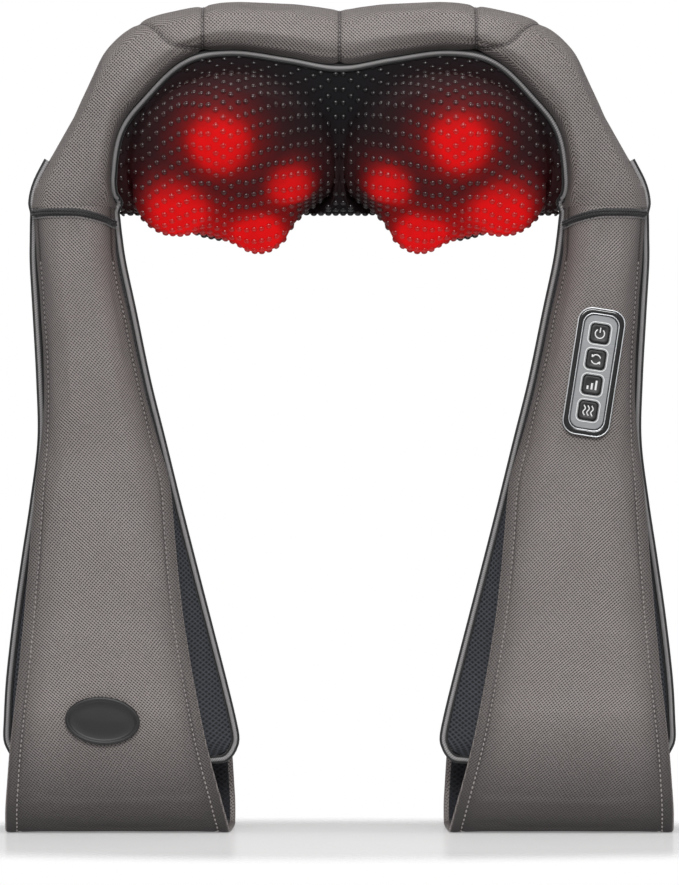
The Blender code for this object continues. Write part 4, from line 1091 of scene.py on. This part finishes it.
def build_cover():
    """Two half covers, each turning with its head inside the twist band, and their raised dots."""
    grid, turning = left_cover()
    rows, columns = grid.shape[:2]
    for side, word in SIDES:
        outer = mirrored(grid, -side)
        across = np.roll(outer, -1, axis=1) - np.roll(outer, 1, axis=1)
        normal = unit(np.cross(np.gradient(outer, axis=0), across))
        if normal[rows // 3].mean(axis=0) @ HEAD_AXIS < 0:
            normal = -normal
        normal[0] = HEAD_AXIS
        inner = outer - FABRIC * normal
        made = Builder()
        index = [made.add_points(sheet) for sheet in (outer, inner)]
        wrapped = np.concatenate([outer, outer[:, :1]], axis=1)
        u = wrapped[..., 0]
        v = 60 * np.arctan2(wrapped[..., 2] - CORE_Z, CORE_Y - wrapped[..., 1])
        for sheet in index:
            made.quads(sheet[1:], u[1:], v[1:], closed=True)
            centre = sheet[0, 0]
            for j in range(columns):
                made.face((sheet[1, j], sheet[1, (j + 1) % columns], centre), [(u[1, j], v[1, j])] * 3)
        for j in range(columns):
            k = (j + 1) % columns
            made.face((index[0][-1, j], index[0][-1, k], index[1][-1, k], index[1][-1, j]))
        keep = np.ones(rows * columns, bool)
        keep[1:columns] = False
        used = np.concatenate([keep, keep])
        points = np.concatenate(made.points)
        renumber = np.cumsum(used) - 1
        faces = [tuple(int(renumber[c]) for c in face) for face in made.faces]
        points = points[used]
        cover = outward(make_piece(f"cover_sheet_{word}", points, faces, MATS["cover"], made.uvs, 70))
        weights = np.tile(np.repeat(turning, columns), 2)[used]
        paint(cover, "glow", red_light(points, side))
        head = f"head_{word}"
        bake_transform(cover, "collar", head, start=(0, 0, 0), end=(0, 0, 1))
        paint(cover, "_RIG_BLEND", weights)
        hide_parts("massage_cover")

        half = len(points) // 2
        front = [face for face in faces if max(face) < half]
        if side < 0:
            dots = cover_dots(points[:half], front, weights)
        centre, out, weight = dots
        centre, out = mirrored(centre, -side), mirrored(out, -side)
        obj = build_dots(f"cover_dots_{word}", centre, out, weight, side)
        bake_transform(obj, "collar", head, start=(0, 0, 0), end=(0, 0, 1))
        paint(obj, "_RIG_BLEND", np.repeat(weight, DOT_POINTS))


def build_dots(name, centre, out, weight, side):
    """One low dome for each dot, closed underneath."""
    made = Builder()
    helper = np.array([0.31, 0.12, 0.94])
    turn = 2 * np.pi * np.arange(DOT_SIDES) / DOT_SIDES
    for place, normal in zip(centre, out):
        first = unit(np.cross(normal, helper))
        second = np.cross(normal, first)
        circle = np.outer(np.cos(turn), first) + np.outer(np.sin(turn), second)
        rings = [place + radius * circle + level * normal for radius, level in DOT_PROFILE]
        index = made.add_points(np.array(rings))
        poles = made.add_points(np.array([place - 0.35 * normal, place + 1.32 * normal]))
        u = np.broadcast_to(np.arange(DOT_SIDES + 1.0), (len(rings), DOT_SIDES + 1))
        made.quads(index, u, u, closed=True)
        made.close_to_points(index, poles)
    obj = made.finish(name, MATS["dots"], 60)
    paint(obj, "glow", np.repeat(red_light(centre, side), DOT_POINTS))
    return obj


# ---- arms ----
def pad_rings(side, inset, count, points):
    rings = []
    for z, inner_x, outer_x, edge_y, front, back in smooth_rows(ARM_TABLE, count):
        middle, half = (inner_x + outer_x) / 2, (outer_x - inner_x) / 2 - inset
        angle = 2 * np.pi * np.arange(points) / points
        across = np.cos(angle)
        bulge = 1 - np.abs(across) ** ROUNDNESS
        y = np.where(np.sin(angle) >= 0, edge_y - front * bulge, edge_y + back * bulge)
        rings.append(np.column_stack([side * (middle + half * across), y, np.full(points, z)]))
    return np.array(rings)


def strap_grid(side, rows, shift, narrow, across):
    """A strap surface at shift mm inside its middle surface."""
    rows = rows.copy()
    rows[:, 1] = np.maximum(rows[:, 1], LEATHER / 2)
    tangent = unit(np.gradient(rows[:, :2], axis=0))
    grid = []
    for (y, z, crown, inner_x, outer_x), (ty, tz) in zip(rows, tangent):
        middle, half = (inner_x + outer_x) / 2, (outer_x - inner_x) / 2 - narrow
        u = np.linspace(-1, 1, across)
        depth = y - shift * tz + crown * np.abs(u) ** ROUNDNESS
        height = np.full(across, z + shift * ty)
        grid.append(np.column_stack([side * (middle + half * u), depth, height]))
    return np.array(grid)


HEM = 5.8  # how far a strap's stitched hem is from its edge
STRAP_LENGTHWISE, STRAP_ACROSS = 330, 61


def edge_gap(grid):
    """Each point's distance along its row to the nearer end of the row."""
    across = lengths(grid.transpose(1, 0, 2)).T
    return np.minimum(across, across[:, -1:] - across)


def strap_surface():
    """The right strap's outer face, swollen between its hems, and its normals."""
    rows = smooth_rows(STRAP_TOP + STRAP_TABLE, STRAP_LENGTHWISE)
    flat = strap_grid(1, rows, -LEATHER / 2, 0.0, STRAP_ACROSS)
    gap = edge_gap(flat)
    pinned = ((np.abs(gap - HEM) < 1.6) | (gap < 1.0)).astype(float)
    pinned[:4] = pinned[-4:] = 1.0
    outer = inflate(flat, pinned, *STRAP_SWELL)
    normal = unit(np.cross(np.gradient(outer, axis=0), np.gradient(outer, axis=1)))
    if normal[30, 30, 1] > 0:
        normal = -normal
    return outer, normal


def build_strap(side, word, outer, normal):
    from_edge = edge_gap(outer)
    down = lengths(outer[:, STRAP_ACROSS // 2])
    free = np.clip((down - 118.0) / 24.0, 0, 1)[:, None]
    hem = np.exp(-(((from_edge - HEM) / 1.1) ** 2))
    bead = np.exp(-(((from_edge - HEM / 2) / 2.4) ** 2))
    wave = np.sin(down / 8.5)[:, None] * np.sin(from_edge / 9.0)
    wave = wave + 0.6 * np.sin(down / 5.1 + 1.3)[:, None]
    pucker = np.sin(down / 2.1 + 0.8 * np.sin(down / 9.0))[:, None]
    pull = np.exp(-(((from_edge - HEM) / 5.0) ** 2)) * pucker
    level = -0.75 * hem + 0.35 * bead + 0.14 * wave + 0.07 * pull
    pillow = np.clip(from_edge / 14.0, 0, 1) * (1 - free) * 0.9
    outer_shaped = outer + normal * (level + pillow)[..., None]
    inner = outer - normal * LEATHER
    strap = shell(f"strap_leather_{word}", outer_shaped, inner, MATS["leather"])
    seam_and_shade = np.zeros((STRAP_LENGTHWISE, 2 * STRAP_ACROSS + 6))
    seam_and_shade[:, :STRAP_ACROSS] = 0.9 * np.exp(-(((from_edge - HEM) / 0.85) ** 2))
    # Painted shade: the strap's leather gets darker towards its bottom, below about 72 mm.
    painted_low_shade = np.clip((72.0 - outer[..., 2]) / 72.0, 0, 1) ** 0.8 * 0.95
    # Painted shade: the strap's leather also gets darker towards both its long edges.
    painted_edge_shade = 0.5 * np.exp(-((from_edge / 13.0) ** 2))
    seam_and_shade[:, :STRAP_ACROSS] = np.maximum(seam_and_shade[:, :STRAP_ACROSS], painted_low_shade + painted_edge_shade * (1 - painted_low_shade))
    paint(strap, "seam_and_shade", seam_and_shade)
    attach(strap, f"arm_{word}", "leather", f"hand_strap_{word}", bends=True)

    made = Builder()
    first, last = 30, STRAP_LENGTHWISE - 4
    for column_from in (0, -1):
        line, out = [], []
        for i in range(first, last):
            order = slice(None) if column_from == 0 else slice(None, None, -1)
            at = lengths(outer_shaped[i, order])
            line.append([np.interp(HEM, at, outer_shaped[i, order, k]) for k in range(3)])
            out.append(normal[i, 6 if column_from == 0 else -7])
        stitch_row(made, np.array(line), np.array(out), 2.9, (2.1, 1.0, 0.95))
    end = slice(5, -5)
    stitch_row(made, outer_shaped[-7, end], normal[-7, end], 2.9, (2.1, 1.0, 0.95))
    stitches = made.finish(f"strap_stitches_{word}", MATS["thread"])
    attach(stitches, f"arm_{word}", "leather", bends=True)

    lining_start = LINING_FROM * (len(STRAP_TABLE) - 1) / (STRAP_ROWS - 1)
    rows = smooth_rows(STRAP_TABLE, 220, lining_start)[:-3]
    middle = (LEATHER + FABRIC) / 2 + 0.35
    sheets = [strap_grid(side, rows, middle + shift * FABRIC / 2, 2.5, 31) for shift in (-1, 1)]
    lining = shell(f"lining_sheet_{word}", sheets[1], sheets[0], MATS["lining"])
    attach(lining, f"arm_{word}", "lining", f"strap_lining_{word}")
    return outer_shaped


PAD_AROUND = 96


def pad_surface():
    """The right arm's pad, its back swollen out between its piped edges."""
    rings = pad_rings(1, 4.2, 150, PAD_AROUND)
    half = PAD_AROUND // 2
    back = np.concatenate([rings[:, half:], rings[:, :1]], axis=1)
    pinned = np.zeros(back.shape[:2])
    pinned[:, :4] = pinned[:, -4:] = 1.0
    pinned[:3] = pinned[-3:] = 1.0
    rings[:, half:] = inflate(back, pinned, *PAD_SWELL)[:, :-1]
    return rings


def build_pad(side, word, rings):
    last = rings[-1]
    centre = last.mean(axis=0)
    rounding = ((0.985, 0.8), (0.95, 1.2))
    closing = [centre + (last - centre) * share - (0, 0, drop) for share, drop in rounding]
    rings = np.concatenate([rings, closing])
    made = Builder()
    made.loft(rings)
    pad = made.finish(f"pad_cushion_{word}", MATS["pad_mesh"])
    attach(pad, f"arm_{word}", "lining", f"arm_pad_{word}", f"shoulder_flex_{word}", bends=True)


def arm_piping_path(side):
    """Down the arm's inner edge, round the pad's end and up its outer edge to the shoulder's notch."""
    rows = smooth_rows(ARM_TABLE[:-1], 60)
    down = [(r[1] + 1.8, r[3], r[0] - 1.0) for r in rows]
    up = [(r[2] - 1.8, r[3], r[0] - 1.0) for r in rows[::-1]]
    inner_x, outer_x, y, z = rows[-1][1], rows[-1][2], rows[-1][3], rows[-1][0]
    turn = [(inner_x + 4.5, y, z - 4.4), (inner_x + 10, y, z - 6.4), (inner_x + 40, y, z - 7.2)]
    turn += [(outer_x - 40, y, z - 7.2), (outer_x - 10, y, z - 6.4), (outer_x - 4.5, y, z - 4.4)]
    start = [(130.4, HINGE_Y - 0.6, 367.4)]
    top = [(180.9, HINGE_Y, 370.0), (178.2, HINGE_Y, 381.0), (171.6, HINGE_Y, 394.0)]
    points = np.array(start + down + turn + up + top)
    return mirrored(evenly_spaced(smooth_rows(points, 420), 420), side)


def build_trim(side, word, surface):
    """Braided band round the front of the shoulder, with a grey strand under it."""
    columns = surface.shape[1]
    u = np.linspace(0, 1, 61)
    drop = 6.2 * np.clip(1 - u / 0.5, 0, 1) ** 1.6

    def line(below):
        points = []
        for share, fall in zip(u, drop):
            column = share * (columns - 1)
            j = min(int(column), columns - 2)
            mixed = surface[:40, j] * (1 - column + j) + surface[:40, j + 1] * (column - j)
            z = COLLAR_END_Z - 1.0 - fall - below
            order = np.argsort(mixed[:, 2])
            points.append([np.interp(z, mixed[order, 2], mixed[order, k]) for k in range(3)])
        return np.array(points)

    body = f"arm_{word}"
    out = surface_normals(np.array([line(0.5), line(2.5), line(4.5)]), (0, -1, 0))[1]
    made = Builder()
    upper, lower = line(0.2), line(4.6)
    bands = []
    for share in np.linspace(0, 1, 7):
        bands.append(upper * (1 - share) + lower * share + out * (0.9 * math.sin(math.pi * share) + 0.1))
    bands = np.array(bands).transpose(1, 0, 2)
    made.loft([folded_ring(row, row - normal * 1.0, 3) for row, normal in zip(bands, out)], slit=7)
    strip = made.finish(f"trim_band_{word}", MATS["trim"])
    made = Builder()
    for row, lean in ((1.5, 1), (3.1, -1)):
        path = evenly_spaced(line(row) + 1.15 * out, 61)
        at = lengths(path)
        spots = np.arange(0.8, at[-1], 1.75)
        centre = values_at(spots, at, path)
        normal = unit(values_at(spots, at, out))
        along = unit(np.gradient(centre, axis=0))
        slant = unit(along + 0.55 * lean * np.cross(normal, along))
        beads(made, centre, slant, normal, (2.2, 1.25, 1.1))
    braid = made.finish(f"trim_braid_{word}", MATS["trim"])
    made = Builder()
    path = evenly_spaced(line(5.5) + 0.5 * out, 61)
    stitch_row(made, path, out, 1.7, (1.5, 0.9, 0.8))
    strand = made.finish(f"trim_strand_{word}", MATS["grey_thread"])
    attach(strip, body, "trim", f"shoulder_trim_{word}", bends=True)
    for obj in (braid, strand):
        attach(obj, body, "trim", bends=True)


def build_arms():
    pad = pad_surface()
    strap, normal = strap_surface()
    for side, word in SIDES:
        build_pad(side, word, mirrored(pad, side))
        surface = build_strap(side, word, mirrored(strap, side), mirrored(normal, side))
        path = arm_piping_path(side)
        build_piping(f"arm_piping_cord_{word}", path, f"arm_{word}", f"arm_piping_{word}")
        build_trim(side, word, surface)


# ---- control panel, on its own axes: +Z out of the panel, +Y up it ----
PANEL = (148.4, -39.4, 269.0)
PANEL_LEAN = 8.8
BUTTON_PITCH, BUTTON_SIDE = 15.1, 10.8
BUTTONS = ("heat", "speed", "direction", "power")  # bottom to top
BEZEL_PROFILE = (  # width, height, corner radius and level
    (27.4, 74.4, 8.0, 0.6),
    (27.4, 74.4, 8.0, 2.3),
    (27.0, 74.0, 7.8, 2.95),
    (26.2, 73.2, 7.4, 3.3),
    (24.8, 71.8, 6.9, 3.45),
    (22.2, 69.2, 6.4, 3.45),
    (20.8, 67.8, 6.2, 3.25),
    (20.3, 67.3, 6.2, 2.8),
    (20.2, 67.2, 6.2, 0.6),
)
KEY_PROFILE = (  # how much narrower than the key, corner radius and level
    (0.0, 2.1, 0.4),
    (0.0, 2.1, 2.5),
    (0.25, 2.1, 2.95),
    (0.8, 2.0, 3.3),
    (1.7, 1.8, 3.4),
    (3.4, 1.5, 3.28),
    (6.2, 1.2, 3.1),
    (9.0, 0.8, 3.02),
)


def panel_points(points, place=PANEL, lean=PANEL_LEAN):
    turn = Matrix.Rotation(math.radians(lean), 3, "Y") @ Matrix.Rotation(math.radians(90), 3, "X")
    return np.asarray(points, float) @ np.array(turn).T + place


def rounded(width, height, radius, steps=7):
    """A rectangle with round corners, as (x, y) points."""
    points = []
    for quarter, (sx, sy) in enumerate(((1, 1), (-1, 1), (-1, -1), (1, -1))):
        for k in range(steps + 1):
            angle = math.pi / 2 * (quarter + k / steps)
            x = sx * (width / 2 - radius) + radius * math.cos(angle)
            points.append((x, sy * (height / 2 - radius) + radius * math.sin(angle)))
    return np.array(points)


def at_level(outline, level, centre=(0, 0)):
    return np.column_stack([outline + centre, np.full(len(outline), level)])


def closed_profile(made, rings):
    """A ring-shaped solid whose section goes through the rings and back to the first."""
    rings = np.array([*rings, rings[0]])
    index = made.add_points(rings[:-1])
    index = np.concatenate([index, index[:1]])
    wrapped = np.concatenate([rings, rings[:, :1]], axis=1)
    around = lengths(wrapped.transpose(1, 0, 2)).T
    along = lengths(rings)
    along = np.concatenate([along, along[:, :1]], axis=1)
    made.quads(index, around, along, closed=True)


def build_panel():
    made = Builder()
    closed_profile(made, [panel_points(at_level(rounded(w, h, r), z)) for w, h, r, z in BEZEL_PROFILE])
    bezel = made.finish("control_bezel", MATS["black_plastic"], 60)
    attach(bezel, "arm_right", "black_plastic", "panel_bezel")

    made = Builder()
    closed_tube(made, panel_points(at_level(rounded(27.2, 74.2, 8.0), 2.75)), 0.42)
    closed_tube(made, panel_points(at_level(rounded(21.0, 68.0, 6.3), 3.35)), 0.34)
    line = made.finish("control_chrome_lines", MATS["chrome"])
    attach(line, "arm_right", "silver_plastic")

    made = Builder()
    for k in range(len(BUTTONS)):
        centre = (0, (k - 1.5) * BUTTON_PITCH)
        outline = at_level(rounded(13.2, 13.2, 3.2), 2.95, centre)
        closed_tube(made, panel_points(outline), 0.3, 6)
    outlines = made.finish("control_key_outlines", MATS["icon"])
    attach(outlines, "arm_right", "silver_plastic")
    for k, name in enumerate(BUTTONS):
        build_button(name, (0, (k - 1.5) * BUTTON_PITCH))


def arc(radius, start, end, centre=(0, 0), steps=22):
    angle = np.radians(np.linspace(start, end, steps))
    return np.column_stack([centre[0] + radius * np.cos(angle), centre[1] + radius * np.sin(angle)])


def icon_lines(name):
    """The strokes of each key's picture, in mm from the key's centre."""
    if name == "power":
        return [arc(2.7, 125, 415), np.array([(0, 0.6), (0, 3.6)])]
    if name == "direction":
        strokes = []
        for start in (20, 200):
            stroke = arc(2.7, start, start + 135)
            tip, back = stroke[-1], math.radians(start + 135)
            strokes.append(stroke)
            for turn in (-0.45, 0.45):
                way = back - math.pi / 2 + turn
                strokes.append(np.array([tip, tip + 1.5 * np.array([math.cos(way), math.sin(way)])]))
        return strokes
    if name == "speed":
        return [np.array([(x, -2.7), (x, top)]) for x, top in ((-2.4, -0.6), (0, 1.1), (2.4, 2.9))]
    t = np.linspace(-1, 1, 24)
    return [np.column_stack([x + 0.55 * np.sin(t * 4.2), 3.0 * t]) for x in (-2.3, 0, 2.3)]


def build_button(name, centre):
    profile = [(BUTTON_SIDE - narrower, r, z) for narrower, r, z in KEY_PROFILE]
    made = Builder()
    made.loft([panel_points(at_level(rounded(w, w, r), z, centre)) for w, r, z in profile])
    key = made.finish(f"key_{name}", MATS["rubber"], 60)
    made = Builder()
    width = 0.62 if name == "speed" else 0.36
    for stroke in icon_lines(name):
        path = panel_points(np.column_stack([stroke + centre, np.full(len(stroke), 3.26)]))
        made.loft(tube_rings(path, width, 8))
    icon = made.finish(f"key_icon_{name}", MATS["icon"])
    attach(key, f"button_{name}", "rubber", f"button_{name}")
    attach(icon, f"button_{name}", "silver_plastic")


# ---- badge, zipper ----
BADGE = (-138.0, -49.1, 66.0)
BADGE_LEAN = 4.0
BADGE_HALF_WIDTH, BADGE_HALF_HEIGHT = 21.8, 14.0
BADGE_PROFILE = (  # how far in from the rim, and the level there
    (0.0, 0.0),
    (0.0, 1.0),
    (0.25, 1.55),
    (0.8, 1.95),
    (1.5, 2.0),
    (2.1, 1.75),
    (2.5, 1.35),
    (3.4, 1.2),
    (7.0, 1.3),
    (11.0, 1.42),
    (13.4, 1.45),
)


def build_badge():
    """A plain oval of rubber with a raised rim."""
    made = Builder()
    turn = 2 * np.pi * np.arange(64) / 64
    rings = []
    for inset, level in BADGE_PROFILE:
        x, y = (BADGE_HALF_WIDTH - inset) * np.cos(turn), (BADGE_HALF_HEIGHT - inset) * np.sin(turn)
        rings.append(panel_points(np.column_stack([x, y, np.full(64, level)]), BADGE, BADGE_LEAN))
    made.loft(rings)
    plate = made.finish("badge_plate", MATS["rubber"], 60)
    attach(plate, "arm_left", "rubber", "badge")


ZIPPER_HALF, ZIPPER_Y, ZIPPER_Z = 92.0, 57.6, 373.4


def build_zipper():
    """Woven tape with two rows of interlocking teeth."""
    t = np.linspace(-ZIPPER_HALF - 2, ZIPPER_HALF + 2, 190)
    rows = []
    for x in t:
        ripple = 0.10 * math.sin(x * 1.9)
        z = np.array([-3.8, -3.5, -2.2, 0, 2.2, 3.5, 3.8])
        y = ZIPPER_Y + np.array([0.28, 0.42, 0.45, 0.45, 0.45, 0.42, 0.28]) + ripple * (np.abs(z) > 3)
        rows.append(np.column_stack([np.full(7, x), y, ZIPPER_Z + z]))
    outer = np.array(rows)
    inner = outer.copy()
    inner[..., 1] = ZIPPER_Y - 0.35
    tape = shell("zipper_cloth_tape", outer, inner, MATS["lining"])
    made = Builder()
    pitch = 2.3
    count = int(2 * (ZIPPER_HALF - 3) / pitch)
    for k in range(count):
        side = 1 if k % 2 else -1
        x = -ZIPPER_HALF + 3 + k * pitch
        place = np.array([[x, ZIPPER_Y + 1.15, ZIPPER_Z + side * 0.95]])
        beads(made, place, [(0, 0, 1.0)], [(0, 1.0, 0)], (3.0, 1.7, 1.9), 8)
    teeth = made.finish("zipper_teeth", MATS["black_plastic"])
    attach(tape, "collar", "trim", "zipper_tape")
    attach(teeth, "collar", "trim")


# ---- floor, light and camera ----
def build_stage():
    """Pale floor, white surroundings, soft light from the front and above, and a long lens."""
    made = Builder()
    reach = (-6000.0, 0.0, 6000.0)
    grid = np.array([[(x, y, -0.2) for x in reach] for y in reach])
    made.quads(made.add_points(grid), grid[..., 0], grid[..., 1])
    look = Graph("pale_floor", (0.86, 0.86, 0.86), 0.2)
    grain = look.noise(0.004, 3.0, look.weave_uv())
    look.set(colour=look.mix(grain, (0.84, 0.84, 0.84), (0.88, 0.88, 0.88)))
    look.set(roughness=look.span(grain, 0.14, 0.2), specular=0.2)
    look.set(glow_colour=(1.0, 1.0, 1.0), glow=0.22)
    place = look.object_place()
    gap = look.node("VectorMath", {0: place, 1: (1.2, 2.3, 1.0)}, operation="MULTIPLY").outputs[0]
    gap = look.node("VectorMath", {0: gap, 1: (0.0, 0.2, 0.0)}, operation="ADD").outputs[0]
    far = look.node("VectorMath", {0: gap}, operation="LENGTH").outputs["Value"]
    limits = {0: far, 1: 0.30, 2: 0.50}
    fade = look.node("MapRange", limits, interpolation_type="SMOOTHSTEP").outputs[0]
    clear = look.node("BsdfTransparent").outputs[0]
    blend = look.node("MixShader", {0: fade, 1: look.shader.outputs[0], 2: clear}).outputs[0]
    output = look.tree.nodes["Material Output"]
    look.tree.links.new(blend, output.inputs["Surface"])
    floor = make_piece("floor", np.concatenate(made.points), made.faces, look.material, made.uvs)

    world = bpy.data.worlds.new("studio")
    world.use_nodes = True
    tree = world.node_tree
    background = tree.nodes["Background"]
    background.inputs["Color"].default_value = (1, 1, 1, 1)
    background.inputs["Strength"].default_value = 0.29
    seen = tree.nodes.new("ShaderNodeBackground")
    seen.inputs["Color"].default_value = (1, 1, 1, 1)
    seen.inputs["Strength"].default_value = 1.0
    rays = tree.nodes.new("ShaderNodeLightPath")
    choice = tree.nodes.new("ShaderNodeMixShader")
    tree.links.new(rays.outputs["Is Camera Ray"], choice.inputs[0])
    tree.links.new(background.outputs[0], choice.inputs[1])
    tree.links.new(seen.outputs[0], choice.inputs[2])
    tree.links.new(choice.outputs[0], tree.nodes["World Output"].inputs["Surface"])
    bpy.context.scene.world = world

    lamps = (
        ("front_light", (0.0, -2.0, 1.1), 1.0, 0.6, 31.0),
        ("top_light", (0.0, -0.3, 1.7), 1.2, 0.7, 9.0),
        ("left_light", (-1.9, -0.4, 0.8), 0.5, 1.0, 6.0),
        ("right_light", (1.9, -0.4, 0.8), 0.5, 1.0, 6.0),
    )
    for name, place, width, height, power in lamps:
        lamp = bpy.data.lights.new(name, "AREA")
        lamp.shape = "RECTANGLE"
        lamp.size, lamp.size_y, lamp.energy = width, height, power
        obj = bpy.data.objects.new(name, lamp)
        bpy.context.scene.collection.objects.link(obj)
        obj.location = place
        aim = Vector((0.0, 0.0, 0.25)) - Vector(place)
        obj.rotation_euler = aim.to_track_quat("-Z", "Y").to_euler()

    camera = bpy.data.cameras.new("camera")
    camera.lens, camera.sensor_width = 250.0, 36.0
    obj = bpy.data.objects.new("camera", camera)
    bpy.context.scene.collection.objects.link(obj)
    frame_height = 0.522
    obj.location = (0.0, -frame_height * camera.lens / camera.sensor_width, 0.228)
    obj.rotation_euler = (math.radians(90), 0, 0)
    camera.clip_end = 50.0
    bpy.context.scene.camera = obj
    bpy.context.scene.view_settings.view_transform = "Standard"


build_stage()
dress_cad_nodes()
build_collar()
build_cover()
build_arms()
build_panel()
build_badge()
build_zipper()
